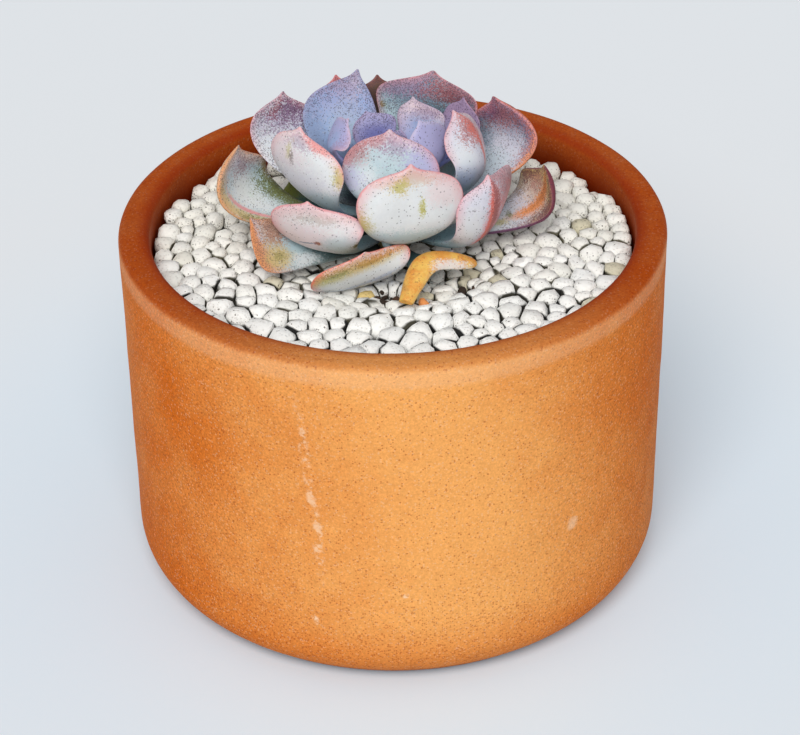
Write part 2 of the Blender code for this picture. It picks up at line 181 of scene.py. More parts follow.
LEAVES = {
    # Low outer leaves, close to the stones.
    "leaf_low_left": Leaf(
        -153, 63.4, (-25.6, -5.4, 73.2), 17, 15, 10, 6, 66, -31, -30, 0.33, left=0.68,
        neck=0.62, blunt=0.5
    ),
    "leaf_low_front": Leaf(
        -105, 63.1, (-5, -15.5, 71.6), 21.5, 12, 8, -8, 90, 0, 52, 0.20, left=0.47, blunt=1.1
    ),
    "leaf_low_front_left": Leaf(
        -138, 66.0, (-15, -9.5, 78.6), 20.5, 13, 9.5, -5, 102, 0, 45, 0.25, thick=2.4, left=0.56
    ),
    "leaf_under_left": Leaf(
        -94, 66.4, (-1.6, -5.4, 68.6), 6.0, 5, 4, -5, 50, 0, 0, 0.25, thick=1.8
    ),
    "leaf_under_right": Leaf(
        -66, 63.8, (8.5, -11, 66.5), 11, 8, 4, -5, 40, 0, 0, 0.25
    ),
    "leaf_right": Leaf(
        2, 64.6, (27.5, 3.6, 78), 16, 20, 10, 0, 118, 0, 20, 0.45, left=0.55, neck=0.8,
        blunt=0.6, swell=0.40
    ),
    "leaf_rear_right": Leaf(52, 64.6, (17, 20, 76), 16, 14, 8, 0, 80, 0, 0, 0.30),
    "leaf_rear_side": Leaf(158, 63.4, (-19, 14, 70.5), 12, 14, 6, 0, 60, 0, 0, 0.25),
    "leaf_rear_left": Leaf(
        114, 65.4, (-10.3, 28, 84.6), 16, 15, 12, 0, 85, 0, 0, 0.30
    ),
    # Middle leaves: the rosette's outline.
    "leaf_left": Leaf(
        178, 67.2, (-27.6, 5.4, 82.1), 17.7, 20, 14, 0, 118, 0, -22, 0.35, left=0.46,
        blunt=0.85, swell=0.35
    ),
    "leaf_right_front": Leaf(
        -35, 66.2, (16.8, -7, 82), 22.5, 13, 13, -5, 100, 0, -10, 0.45, 1.0, left=0.73, swell=0.05
    ),
    "leaf_left_rear": Leaf(
        156, 68.8, (-19.8, 18.2, 86.3), 15.5, 15, 13, 10, 105, -15, -20, 0.35, left=0.54
    ),
    "leaf_right_rear": Leaf(
        26, 68.0, (18.7, 15, 86.2), 17, 18.5, 14, 10, 122, 10, 20, 0.40, left=0.47, blunt=0.75,
        swell=0.3
    ),
    "leaf_back_centre": Leaf(92, 67.6, (-2.5, 27, 85), 16, 14, 12, 5, 85, 0, 0, 0.30),
    "leaf_front": Leaf(
        -82, 68.8, (3.3, -12, 87.2), 22, 13, 13, -4, 105, 0, 0, 0.30, thick=2.4, left=0.52
    ),
    "leaf_front_left": Leaf(
        -168, 69.8, (-16.1, -1.5, 89.3), 20, 11, 13, 5, 108, 10, 50, 0.30, thick=2.4,
        left=0.56, blunt=0.75
    ),
    "leaf_back_left": Leaf(
        142, 70.2, (-6, 24, 87.7), 16, 14, 13, 20, 75, -110, 0, 0.35, left=0.60, neck=1.15,
        blunt=0.5
    ),
    "leaf_back_right": Leaf(
        68, 70.4, (8, 23, 87.7), 20.7, 12, 13, 20, 88, 0, 0, 0.35, left=0.51, blunt=1.32
    ),
    # Inner leaves, steeper and smaller.
    "leaf_inner_right": Leaf(
        -17, 71.2, (11, 4.8, 88.8), 15, 18.8, 12, 20, 120, 0, -66, 0.35, 0.6, left=0.54,
        neck=1.6, blunt=0.85
    ),
    "leaf_inner_front": Leaf(
        -100, 72.2, (-0.3, -1.0, 88.2), 20, 10, 10, 10, 115, 0, 0, 0.35, left=0.53, blunt=0.85
    ),
    "leaf_inner_rear": Leaf(
        46, 72.6, (13.3, 15.6, 85.8), 10.4, 9, 9, 30, 95, 0, 0, 0.30, thick=1.8, left=0.37
    ),
    "leaf_inner_back": Leaf(
        48, 74.0, (4, 13.5, 87.2), 10.5, 9, 8, 40, 85, 30, 0, 0.30, thick=1.8, left=0.32
    ),
    "leaf_core_left": Leaf(
        172, 75.2, (-7.6, 5.4, 87.2), 10, 14, 10, 35, 122, 0, 80, 0.30, thick=1.5, left=0.50
    ),
    "leaf_core_right": Leaf(
        -15, 75.4, (4.9, 2.6, 88), 12.5, 9.5, 8, 30, 115, 0, -65, 0.30, thick=1.5, blunt=0.6
    ),
    "leaf_core_back": Leaf(
        110, 76.0, (-4.6, 10.1, 86.2), 10, 5, 6, 45, 80, 0, 0, 0.30, thick=1.5, left=0.42
    ),
    "leaf_bud_left": Leaf(
        215, 77.0, (-2.4, 1.6, 85), 4, 3, 4, 60, 95, 0, 0, 0.25, thick=1.1
    ),
    "leaf_bud_right": Leaf(
        60, 77.3, (1.6, 4.2, 85.5), 4, 3, 4, 60, 95, 0, 0, 0.25, thick=1.1
    ),
}

# Points of a leaf that are this far across it or more are on its edge.
EDGE_SHARE = 0.985
# Where a leaf's sections lie from its base to its tip, and the shares of its half width and of
# its thickness that each one has.
STATIONS = (0.0, 0.24, 0.51, 0.77, 0.92, 0.97, 1.0)
HALF_WIDTHS = (0.17, 0.34, 0.92, 1.15, 0.92, 0.13, 0.03)
THICKNESSES = (0.55, 0.85, 1.00, 0.80, 0.62, 0.36, 0.12)

# Points along the withered leaf, and its half widths there and its thickness, all in mm. Its
# edges have curled down.
WITHERED_PATH = (
    (2.0, -21.6, 65.0),
    (3.6, -17.2, 67.2),
    (5.6, -13.2, 69.2),
    (10.0, -12.2, 68.6),
    (15.5, -11.4, 66.6),
)
WITHERED_HALF_WIDTHS = (1.6, 2.6, 3.2, 2.8, 1.5)
WITHERED_THICK = 1.4
WITHERED_CUP = -0.5

# A mark on a leaf: colour, place across from -1 to 1 and along from 0 to 1, half size across
# and along, strength, the face it lies on (1 inner, -1 outer, 0 both), and how ragged it is.
Mark = namedtuple("Mark", "colour across along wide tall strength face ragged")
MARK_SHAPE = ("across", "along", "wide", "tall", "face", "ragged")

Look = namedtuple("Look", "inner outer rim rim_strength rim_width grit blush spots marks")


def look(
    inner, outer, rim, rim_strength=0.8, rim_width=0.5, grit=0.35, blush=0.3, spots=0.3, *marks
):
    """How a leaf looks.

    The colours from base to tip of its inner and outer face, the colour of its rim, how strong
    and how wide in mm the rim is, how dense the fine grit is, how far down the tip colour
    reaches, how many larger spots there are, and the marks.
    """
    colours = inner.split(), outer.split(), rim
    return Look(*colours, rim_strength, rim_width, grit, blush, spots, marks)


LOOKS = {
    "leaf_low_left": look(
        "deep_sea milk_teal pearl", "sea pearl rose", "orange", 0.90, 0.6, 0.8, 0.15, 0.9,
        Mark("sand", 0.4, 0.84, 0.8, 0.18, 0.75, 1, 0.8),
        Mark("rust", 0.45, 0.80, 0.7, 0.16, 0.60, 1, 1.7),
        Mark("orange", -0.70, 0.84, 0.50, 0.24, 0.85, 1, 0.6),
        Mark("straw", -0.42, 0.67, 0.45, 0.16, 0.95, 1, 0.7),
        Mark("moss", -0.40, 0.66, 0.18, 0.07, 0.50, 1, 1.4),
        Mark("chalk", -0.50, 0.44, 0.45, 0.12, 0.7, 1, 0.8),
    ),
    "leaf_low_front": look(
        "sea straw orange", "powder_blue chalk chalk", "coral", 0.95, 0.6, 0.5, 0.05, 0.8,
        Mark("straw", 0.1, 0.88, 1.3, 0.11, 0.90, -1, 0.8),
        Mark("amber", -0.25, 0.90, 0.60, 0.05, 0.75, -1, 0.8),
        Mark("lichen", 0.75, 0.84, 0.45, 0.09, 0.85, -1, 0.8),
        Mark("moss", 0.60, 0.88, 0.34, 0.04, 0.50, -1, 1.6),
        Mark("moss", -0.2, 0.89, 0.5, 0.03, 0.30, -1, 1.9),
        Mark("chalk", 0.0, 0.72, 1.2, 0.11, 0.95, -1, 0.8),
        Mark("powder_blue", 0.0, 0.60, 0.8, 0.05, 0.45, -1, 0.6),
    ),
    "leaf_low_front_left": look(
        "sea milk_teal blush", "milk_teal chalk chalk", "rose", 1.0, 1.0, 0.40, 0.08, 0.45,
        Mark("chalk_pink", 0.3, 0.66, 0.9, 0.24, 0.7, -1, 0.6),
        Mark("milk_teal", -0.55, 0.58, 0.6, 0.14, 0.70, -1, 0.6),
        Mark("moss", -0.15, 0.88, 0.55, 0.05, 0.28, -1, 1.6),
        Mark("steel", -0.55, 0.28, 0.7, 0.14, 0.4, -1, 0.6),
        Mark("moss", -0.90, 0.49, 0.20, 0.06, 0.95, -1, 0.8),
        Mark("rust", -0.02, 0.62, 0.10, 0.030, 0.90, -1, 0.7),
        Mark("slate", 0.25, 0.62, 0.25, 0.012, 0.80, -1, 0.5),
    ),
    # Its inner base is near black: painted shade deep among the leaves.
    "leaf_under_left": look("ink deep_sea sea", "deep_sea sea milk_teal", "sea", 0.3),
    "leaf_under_right": look("deep_sea sea sea", "deep_sea sea sea", "rose", 0.5),
    "leaf_right": look(
        "milk_teal pearl straw", "plum plum wine", "wine", 0.40, 0.4, 1.0, 0.25, 0.9,
        Mark("sand", -0.2, 0.72, 0.8, 0.20, 0.75, 1, 1.2),
        Mark("brick", -0.45, 0.86, 0.7, 0.16, 0.60, 1, 1.7),
        Mark("umber", -0.75, 0.72, 0.25, 0.35, 0.5, 1, 1.8),
        Mark("orange", 0.34, 0.68, 0.32, 0.46, 0.95, 1, 0.7),
        Mark("rust", 0.30, 0.80, 0.12, 0.22, 0.5, 1, 1.2),
        Mark("wine", 1.0, 0.76, 0.42, 0.36, 0.80, 1, 1.0),
        Mark("chalk", 0.3, 0.32, 0.8, 0.14, 0.7, 1, 0.6),
        Mark("moss", 0.10, 0.42, 0.30, 0.025, 0.7, 1, 1.2),
        Mark("lichen", 0.45, 0.36, 0.25, 0.05, 0.7, 1, 1.0),
    ),
    "leaf_rear_right": look("sea sea brick", "sea sea brick", "rose"),
    "leaf_rear_side": look("deep_sea deep_sea moss", "sea sea moss", "moss"),
    "leaf_rear_left": look("sea mauve brick", "sea milk_teal rose", "rose"),
    "leaf_left": look(
        "moss milk_teal chalk", "sea sand sand", "orange", 0.80, 0.7, 0.7, 0.06, 0.8,
        Mark("chalk", -0.10, 0.62, 0.75, 0.36, 1.0, 1, 0.5),
        Mark("straw", -0.84, 0.62, 0.26, 0.44, 0.85, 1, 0.8),
        Mark("milk_teal", 0.30, 0.58, 0.4, 0.26, 0.25, 1, 1.2),
        Mark("lichen", -0.05, 0.64, 0.5, 0.20, 0.12, 1, 1.2),
        Mark("moss", 0.72, 0.43, 0.50, 0.28, 0.95, 1, 1.5),
        Mark("moss", 0.88, 0.74, 0.20, 0.14, 0.75, 1, 1.4),
        Mark("moss", -0.95, 0.48, 0.25, 0.12, 0.65, 1, 1.4),
        Mark("ink", 0.92, 0.42, 0.22, 0.22, 0.40, 1, 1.6),
        Mark("brick", 0.12, 0.90, 0.55, 0.08, 0.50, 1, 1.9),
        Mark("pearl", -0.30, 0.93, 0.6, 0.06, 0.45, 1, 1.6),
        Mark("plum", 0.20, 0.87, 0.35, 0.07, 0.35, 1, 1.9),
        Mark("rose", -0.62, 0.54, 0.06, 0.28, 0.8, 1, 0.3),
        Mark("amber", -0.8, 0.60, 0.20, 0.30, 0.6, -1, 1.2),
    ),
    "leaf_right_front": look(
        "sea pearl mauve", "sea pearl pearl", "rose", 0.75, 0.6, 0.7, 0.08, 0.8,
        Mark("milk_teal", 0.5, 0.30, 0.9, 0.18, 0.6, -1, 0.6),
        Mark("chalk", 0.60, 0.66, 0.4, 0.22, 0.7, -1, 0.4),
        Mark("brick", -0.50, 0.88, 0.5, 0.18, 0.65, -1, 1.5),
        Mark("rose", -0.40, 0.72, 0.4, 0.20, 0.55, -1, 1.2),
        Mark("rose", 0.04, 0.70, 0.24, 0.50, 0.75, -1, 0.7),
        Mark("brick", 0.02, 0.78, 0.13, 0.44, 0.95, -1, 0.9),
        Mark("coral", 0.14, 0.66, 0.07, 0.44, 0.80, -1, 0.5),
        Mark("pearl", -0.92, 0.58, 0.22, 0.35, 0.8, -1, 0.4),
    ),
    "leaf_left_rear": look(
        "milk_teal pearl pearl", "milk_teal pearl mauve", "rose", 0.55, 0.5, 0.9, 0.25, 0.8,
        Mark("slate", 0.80, 0.64, 0.50, 0.36, 0.85, 1, 1.3),
        Mark("chalk", -0.55, 0.54, 0.55, 0.30, 0.90, 1, 0.6),
        Mark("mauve", 0.1, 0.88, 0.9, 0.12, 0.75, 1, 1.7),
        Mark("plum", 0.3, 0.92, 0.7, 0.10, 0.75, 1, 1.8),
        Mark("brick", -0.30, 0.93, 0.25, 0.07, 0.5, 1, 1.8),
        Mark("moss", 0.15, 0.34, 0.10, 0.05, 0.7, 1, 1.4),
        # Painted shade: the base, down between the leaves, is near black.
        Mark("ink", 0.1, 0.08, 1.6, 0.14, 0.95, 1, 0.3),
    ),
    "leaf_right_rear": look(
        "milk_teal pearl slate", "sea rust rust", "rose", 0.70, 0.6, 1.0, 0.30, 0.8,
        Mark("pearl", 0.20, 0.60, 0.8, 0.24, 0.70, 1, 0.9),
        Mark("milk_teal", 0.0, 0.46, 0.9, 0.16, 0.60, 1, 0.8),
        Mark("steel", -0.60, 0.64, 0.50, 0.34, 0.75, 1, 1.2),
        Mark("brick", 0.1, 0.91, 0.8, 0.12, 0.80, 1, 1.7),
        Mark("plum", -0.30, 0.94, 0.5, 0.08, 0.70, 1, 1.8),
        Mark("brick", 0.85, 0.70, 0.22, 0.24, 0.65, 1, 1.7),
        Mark("orange", 0.98, 0.66, 0.18, 0.26, 0.80, 0, 0.8),
        Mark("orange", 0.9, 0.45, 0.25, 0.25, 0.6, -1, 0.8),
    ),
    # Its dark inner face is partly its own colour and partly painted shade at the back of the
    # rosette.
    "leaf_back_centre": look(
        "deep_sea deep_sea umber", "sea milk_teal rose", "brick", 0.6, 0.5, 0.9, 0.4
    ),
    "leaf_front": look(
        "sea milk_teal blush", "sea chalk chalk", "rose", 1.0, 0.8, 0.25, 0.06, 0.35,
        Mark("sand", 0.0, 0.94, 0.9, 0.05, 0.65, -1, 1.0),
        Mark("blush", -0.6, 0.84, 0.4, 0.10, 0.35, -1, 0.6),
        Mark("straw", 0.26, 0.90, 0.24, 0.06, 0.8, -1, 1.2),
        Mark("lichen", 0.28, 0.90, 0.16, 0.05, 0.75, -1, 1.2),
        Mark("lichen", -0.18, 0.75, 0.07, 0.07, 1.0, -1, 1.0),
        Mark("lichen", 0.90, 0.60, 0.24, 0.17, 1.0, -1, 0.8),
        Mark("milk_teal", 0.1, 0.46, 1.1, 0.12, 0.85, -1, 0.6),
        Mark("steel", -0.35, 0.20, 0.9, 0.14, 0.5, -1, 0.5),
    ),
    "leaf_front_left": look(
        "sea milk_teal blush", "sea chalk chalk", "rose", 0.80, 0.7, 0.35, 0.08, 0.45,
        Mark("chalk_pink", 0.45, 0.84, 0.7, 0.12, 0.6, -1, 0.9),
        Mark("mauve", -0.1, 0.94, 0.6, 0.06, 0.5, -1, 1.4),
        Mark("lichen", 0.30, 0.86, 0.10, 0.06, 0.60, -1, 1.6),
        Mark("umber", 0.20, 0.82, 0.06, 0.05, 0.6, -1, 1.6),
        Mark("pearl", 0.2, 0.64, 1.0, 0.16, 0.6, -1, 0.8),
        Mark("coral", -0.75, 0.93, 0.35, 0.05, 0.65, -1, 0.8),
        Mark("lichen", -0.86, 0.74, 0.18, 0.12, 0.95, -1, 0.8),
        Mark("powder_blue", -0.2, 0.28, 1.1, 0.16, 0.6, -1, 0.5),
        Mark("milk_teal", -0.4, 0.46, 1.0, 0.14, 0.85, -1, 0.5),
    ),
    "leaf_back_left": look(
        "slate powder_blue powder_blue", "milk_teal lilac mauve", "mauve",
        0.6, 0.5, 0.85, 0.25, 0.8,
        Mark("chalk_pink", -0.1, 0.94, 0.9, 0.10, 0.65, 1, 1.6),
        Mark("mauve", -0.3, 0.90, 0.8, 0.10, 0.60, 1, 1.7),
        Mark("slate", -0.75, 0.54, 0.30, 0.30, 0.5, 1, 0.8),
        Mark("milk_teal", 0.1, 0.66, 0.6, 0.20, 0.55, 1, 0.8),
        Mark("powder_blue", 0.8, 0.62, 0.40, 0.40, 0.7, 1, 0.6),
        Mark("indigo", 0.25, 0.40, 0.10, 0.05, 0.5, 1, 1.3),
        Mark("lilac", -0.1, 0.78, 0.9, 0.20, 0.45, 1, 1.2),
    ),
    "leaf_back_right": look(
        "powder_blue steel steel", "milk_teal milk_teal rose", "rose", 0.75, 0.5, 1.1, 0.40, 0.8,
        Mark("milk_teal", -0.80, 0.64, 0.40, 0.3, 0.65, 1, 0.8),
        Mark("mauve", -0.4, 0.92, 0.8, 0.10, 0.80, 1, 1.6),
        Mark("brick", 0.40, 0.90, 0.6, 0.09, 0.80, 1, 1.7),
        Mark("wine", 0.55, 0.86, 0.35, 0.08, 0.60, 1, 1.8),
        Mark("deep_sea", 0.20, 0.74, 0.6, 0.10, 0.55, 1, 1.6),
        Mark("slate", 0.85, 0.66, 0.3, 0.3, 0.55, 1, 0.9),
        Mark("periwinkle", -0.3, 0.36, 0.9, 0.14, 0.7, 1, 0.8),
        Mark("moss", -0.80, 0.76, 0.08, 0.035, 0.9, 1, 1.3),
    ),
    "leaf_inner_right": look(
        "milk_teal pearl rose", "sea pearl pearl", "rose", 0.80, 0.6, 0.40, 0.08, 0.5,
        Mark("sea", 0.3, 0.26, 1.2, 0.14, 0.5, -1, 0.5),
        Mark("powder_blue", 0.60, 0.46, 0.4, 0.20, 0.5, -1, 0.5),
        Mark("chalk", 0.60, 0.66, 0.45, 0.20, 0.7, -1, 0.6),
        Mark("blush", -0.62, 0.60, 0.36, 0.30, 0.8, -1, 0.4),
        Mark("chalk", -0.35, 0.55, 0.20, 0.20, 0.7, -1, 0.4),
        Mark("brick", 0.0, 0.88, 0.45, 0.14, 0.80, -1, 1.3),
        Mark("coral", -0.20, 0.88, 0.30, 0.14, 0.70, -1, 0.8),
        Mark("coral", -0.18, 0.70, 0.10, 0.16, 0.80, -1, 0.6),
    ),
    # Its outer base is dark: painted shade in the hollow below it.
    "leaf_inner_front": look(
        "sea milk_teal blush", "deep_sea milk_teal pearl", "rose", 0.80, 0.7, 0.70, 0.12, 0.8,
        Mark("brick", 0.78, 0.84, 0.30, 0.12, 0.75, -1, 1.2),
        Mark("brick", 0.40, 0.93, 0.40, 0.06, 0.60, -1, 1.5),
        Mark("chalk", 0.45, 0.60, 0.4, 0.18, 0.8, -1, 0.6),
        Mark("steel", -0.10, 0.60, 0.45, 0.12, 0.35, -1, 1.5),
        Mark("lilac", 0.80, 0.62, 0.35, 0.14, 0.6, -1, 0.9),
        Mark("mauve", -0.15, 0.91, 0.4, 0.09, 0.60, -1, 1.6),
        Mark("lilac", -0.70, 0.76, 0.40, 0.20, 0.85, -1, 0.9),
        Mark("powder_blue", -0.6, 0.50, 0.4, 0.14, 0.6, -1, 0.9),
    ),
    "leaf_inner_rear": look(
        "periwinkle lilac mauve", "periwinkle lilac rose", "mauve", 0.7, 0.4, 0.5, 0.25, 0.6,
    ),
    "leaf_inner_back": look(
        "periwinkle powder_blue chalk_pink", "periwinkle lilac lilac", "mauve",
        0.75, 0.5, 0.45, 0.20, 0.6,
        Mark("lilac", -0.6, 0.62, 0.5, 0.35, 0.5, 1, 0.5),
        Mark("mauve", 0.35, 0.86, 0.6, 0.10, 0.60, 1, 1.5),
    ),
    "leaf_core_left": look(
        "violet lilac pearl", "periwinkle powder_blue lilac", "blush", 0.5, 0.3, 0.3, 0.2, 0.6,
        Mark("lilac", 0.5, 0.7, 0.6, 0.3, 0.6, 0, 0.5),
        Mark("mauve", -0.75, 0.60, 0.35, 0.40, 0.7, -1, 1.0),
    ),
    "leaf_core_right": look(
        "periwinkle powder_blue lilac", "periwinkle lilac lilac", "chalk_pink",
        0.5, 0.3, 0.3, 0.2, 0.9,
    ),
    "leaf_core_back": look(
        "indigo violet lilac", "violet violet mauve", "mauve", 0.8, 0.4, 0.7, 0.25, 0.9,
        Mark("violet", 0.0, 0.7, 0.9, 0.2, 0.4, 1, 0.8),
    ),
    "leaf_bud_left": look("violet periwinkle lilac", "periwinkle periwinkle lilac", "mauve"),
    "leaf_bud_right": look("violet periwinkle lilac", "periwinkle periwinkle lilac", "mauve"),
}
# Each leaf's dots and dents are drawn this much further on than those of the one before.
LEAF_SEED_STEP = 3.7

# The middle of the painted highlight on the clay's side, in degrees from the camera side.
HIGHLIGHT_SIDE = 6.0
# A pale mark on the clay: angle in degrees from the camera side, level in mm, lean in degrees
# for each mm of height, half width in degrees, half height in mm, how broken up, and strength.
ClayMark = namedtuple("ClayMark", "angle level lean wide tall broken strength")

CLAY_MARKS = (
    ClayMark(-17.2, 42.0, -0.10, 1.4, 22.0, 0.47, 0.65),
    ClayMark(38.4, 28.9, 0.0, 1.8, 1.6, 0.35, 0.5),
    ClayMark(-17.4, 14.6, 0.0, 0.9, 1.2, 0.42, 0.9),
    ClayMark(1.5, 21.6, 0.0, 0.7, 0.7, 0.40, 0.8),
    ClayMark(45.8, 45.0, 0.0, 0.5, 22.0, 0.56, 0.5),
)


def length_property(name, description, default):
    """A length in metres."""
    return FloatProperty(
        name=name, description=description, default=default, subtype="DISTANCE", unit="LENGTH"
    )


def angle_property(name, description, degrees):
    """An angle, given in degrees and kept in radians."""
    return FloatProperty(
        name=name, description=description, default=math.radians(degrees), subtype="ANGLE",
        unit="ROTATION",
    )


def colour_property(name, description, default):
    """A linear colour."""
    return FloatVectorProperty(
        name=name, description=description, default=default, size=3, subtype="COLOR"
    )


class PotSettings(bpy.types.PropertyGroup):
    """Sizes and colours of the clay pot."""

    radius: length_property("Radius", "Outer radius", POT_BOX[1].x)
    height: length_property("Height", "Height of the lip", POT_BOX[1].z)
    wall: length_property("Wall", "Thickness of the wall", 6.0 * MM)
    floor: length_property("Floor", "Thickness of the floor", 6.0 * MM)
    lip_round: length_property("Lip rounding", "Radius of the lip's edges", 1.5 * MM)
    foot_round: length_property("Foot rounding", "Radius of the lower edge", 8.7 * MM)
    inner_round: length_property("Inner rounding", "Radius of the inner corner", 3.0 * MM)
    drain_radius: length_property("Drain hole", "Radius of the drain hole", 5.0 * MM)
    steps: IntProperty(name="Steps", description="Faces round the pot", default=192, min=24)
    clay: colour_property("Clay", "Fired clay", srgb(238, 166, 92))
    clay_deep: colour_property("Deep clay", "Darker clay in the mottling", srgb(204, 101, 16))
    # A darker, redder clay for the inside, the top of the lip and the dark specks.
    clay_dark: colour_property("Dark clay", "Dark clay of the lip and the inside", srgb(136, 32, 2))
    # Also the colour of the painted highlight under the lip.
    salt_and_highlight: colour_property("Salt", "Pale lime bloom on the clay", srgb(246, 206, 168))


class DressingSettings(bpy.types.PropertyGroup):
    """Soil and pumice stones."""

    stones: IntProperty(name="Stones", description="Number of pumice stones", default=1150, min=50)
    small: length_property("Small stone", "Radius of the smallest stones", 1.3 * MM)
    usual: length_property("Usual stone", "Radius of most stones", 2.3 * MM)
    large: length_property("Large stone", "Radius of the largest stones", 3.7 * MM)
    gap: length_property("Gap", "Width of the gaps between stones that touch", 0.20 * MM)
    top: length_property("Top", "Level of the stones at the wall", PUMICE_BOX[1].z)
    bank: length_property(
        "Bank", "How much higher the stones lie along the wall at the back", 1.2 * MM
    )
    dip: length_property("Dip", "How much lower the stones lie at the stem", 3.6 * MM)
    dip_radius: length_property("Dip radius", "How far the dip reaches", 26.0 * MM)
    crumbs: IntProperty(
        name="Crumbs", description="Crumbs of soil at each bare place", default=26, min=1
    )
    seed: IntProperty(name="Seed", description="Draw of the stones", default=11)
    pumice: colour_property("Pumice", "Pale pumice", srgb(255, 254, 250))
    pumice_grey: colour_property("Grey pumice", "Greyer stones", srgb(249, 249, 246))
    pumice_buff: colour_property("Buff pumice", "The few buff stones", srgb(206, 196, 158))
    pumice_yellow: colour_property("Yellow pumice", "Stones stained yellow", srgb(224, 190, 96))
    soil: colour_property("Soil", "Potting soil", srgb(52, 38, 28))


class RosetteSettings(bpy.types.PropertyGroup):
    """Shape and skin of the leaves."""

    levels: IntProperty(
        name="Smoothing", description="Subdivision of a leaf", default=3, min=1, max=4
    )
    dent: length_property("Dents", "Depth of the leaves' soft unevenness", 0.10 * MM)
    grit_size: length_property("Grit size", "Size of the fine dark dots", 0.21 * MM)
    speck_size: length_property("Speck size", "Size of the larger dark specks", 0.32 * MM)
    speck: colour_property("Specks", "Dark specks on the skin", srgb(64, 44, 62))
    dry: colour_property("Dry leaf", "Skin of the withered leaf", srgb(236, 190, 92))
    dry_deep: colour_property(
        "Dry leaf, deep", "Deeper colour of the withered leaf", srgb(226, 150, 62)
    )
    bark: colour_property("Stem", "Skin of the stem", srgb(142, 138, 92))
    stem_radius: length_property(
        "Stem radius", "Radius of the stem", (STEM_BOX[1].x - STEM_BOX[0].x) / 2
    )


class StageSettings(bpy.types.PropertyGroup):
    """Floor, lights and camera."""

    floor: colour_property("Floor", "Pale floor", srgb(232, 236, 240))
    # A painted cool tint near the pot that cancels the warm light the clay reflects onto the floor.
    floor_near: colour_property(
        "Floor near the pot", "Cooler tone of the floor beside the warm clay", srgb(222, 238, 250)
    )
    floor_size: length_property("Floor size", "Side of the floor", 6.0)
    sky: colour_property("Room light", "Even light of the room", (0.93, 0.96, 1.0))
    sky_strength: FloatProperty(
        name="Room strength", description="Strength of the room's light", default=0.42
    )
    key_strength: FloatProperty(
        name="Key light", description="Strength of the main light", default=2.3
    )
    key_spread: angle_property("Key spread", "How soft the main light is", 40)
    key_height: angle_property("Key height", "Angle of the main light above the floor", 46)
    key_side: angle_property("Key side", "Turn of the main light to the left of the camera", 8)
    camera_distance: length_property("Camera distance", "Camera to the pot's axis, level", 0.389)
    camera_height: length_property("Camera height", "Height of the camera", 0.2934)
    look_down: angle_property("Look down", "Angle of the view below the horizon", 33.41)
    look_aside: angle_property("Look aside", "Turn of the view to the right", 0.141)
    camera_roll: angle_property("Roll", "Roll of the camera", 0.8)
    lens: FloatProperty(
        name="Lens", description="Focal length in mm on a 36 mm sensor", default=110.84
    )


class Wiring:
    """Adds nodes to one node tree and joins them.

    A value is a number, a colour of red, green and blue, or the output of another node.
    """

    def __init__(self, tree):
        self.tree = tree

    def feed(self, inputs, values):
        """Gives a node's inputs, by name or number, their values."""
        for key, value in values.items():
            if isinstance(value, bpy.types.NodeSocket):
                self.tree.links.new(value, inputs[key])
            elif inputs[key].type == "RGBA":
                inputs[key].default_value = (*value, 1.0)
            else:
                inputs[key].default_value = value

    def node(self, kind, inputs=None, **settings):
        made = self.tree.nodes.new(kind)
        for name, value in settings.items():
            setattr(made, name, value)
        self.feed(made.inputs, inputs or {})
        return made

    def math(self, operation, *values, clamp=False):
        inputs = dict(enumerate(values))
        return self.node("ShaderNodeMath", inputs, operation=operation, use_clamp=clamp).outputs[0]

    def scaled(self, value, factor, offset, clamp=False):
        """The value times the factor, plus the offset."""
        return self.math("MULTIPLY_ADD", value, factor, offset, clamp=clamp)

    def between(self, value, low, high, start=0.0, end=1.0):
        """Smooth step of a value from low to high, put out as start to end."""
        inputs = {"Value": value, "From Min": low, "From Max": high, "To Min": start, "To Max": end}
        made = self.node("ShaderNodeMapRange", inputs, interpolation_type="SMOOTHSTEP")
        return made.outputs["Result"]

    def mix(self, share, first, second, blend="MIX"):
        made = self.node("ShaderNodeMix", data_type="RGBA", blend_type=blend, clamp_factor=True)
        self.feed(made.inputs, {0: share, 6: first, 7: second})
        return made.outputs[2]

    def tint(self, colour, mask, strength, laid_over):
        """The colour with another one laid over it, as strongly as the mask and strength say."""
        return self.mix(self.math("MULTIPLY", mask, strength), colour, laid_over)

    def shaded(self, colour, shade):
        """The colour made lighter or darker by a shade about 1."""
        grey = self.node("ShaderNodeCombineColor", {0: shade, 1: shade, 2: shade})
        return self.mix(1.0, colour, grey.outputs[0], "MULTIPLY")

    def place(self):
        return self.node("ShaderNodeTexCoord").outputs["Object"]

    def xyz(self, vector):
        return self.node("ShaderNodeSeparateXYZ", {0: vector}).outputs

    def attribute(self, name):
        return self.node("ShaderNodeAttribute", attribute_name=name).outputs["Fac"]

    def noise(self, vector, scale, detail, roughness=0.5):
        """Cloudy values from 0 to 1, with the scale in waves to the metre."""
        inputs = {"Vector": vector, "Scale": scale, "Detail": detail, "Roughness": roughness}
        return self.node("ShaderNodeTexNoise", inputs).outputs[0]

    def wave(self, vector, scale, detail, roughness):
        """The same values about 0."""
        return self.math("SUBTRACT", self.noise(vector, scale, detail, roughness), 0.5)

    def away(self, sideways, lengthways, power=2.0):
        """Distance from a centre. A higher power squares off the ends lengthways."""
        square = self.math("POWER", sideways, 2.0)
        return self.math("SQRT", self.math("ADD", square, self.math("POWER", lengthways, power)))

    def cells(self, vector, scale):
        return self.node("ShaderNodeTexVoronoi", {"Vector": vector, "Scale": scale}).outputs

    def effect(self, tree, **values):
        """A placed node group. Its inputs are named in lower case with underscores here."""
        inputs = {name.replace("_", " ").capitalize(): value for name, value in values.items()}
        return self.node("ShaderNodeGroup", inputs, node_tree=tree).outputs

    def bump(self, height, strength, distance):
        inputs = {"Height": height, "Strength": strength, "Distance": distance}
        return self.node("ShaderNodeBump", inputs).outputs["Normal"]


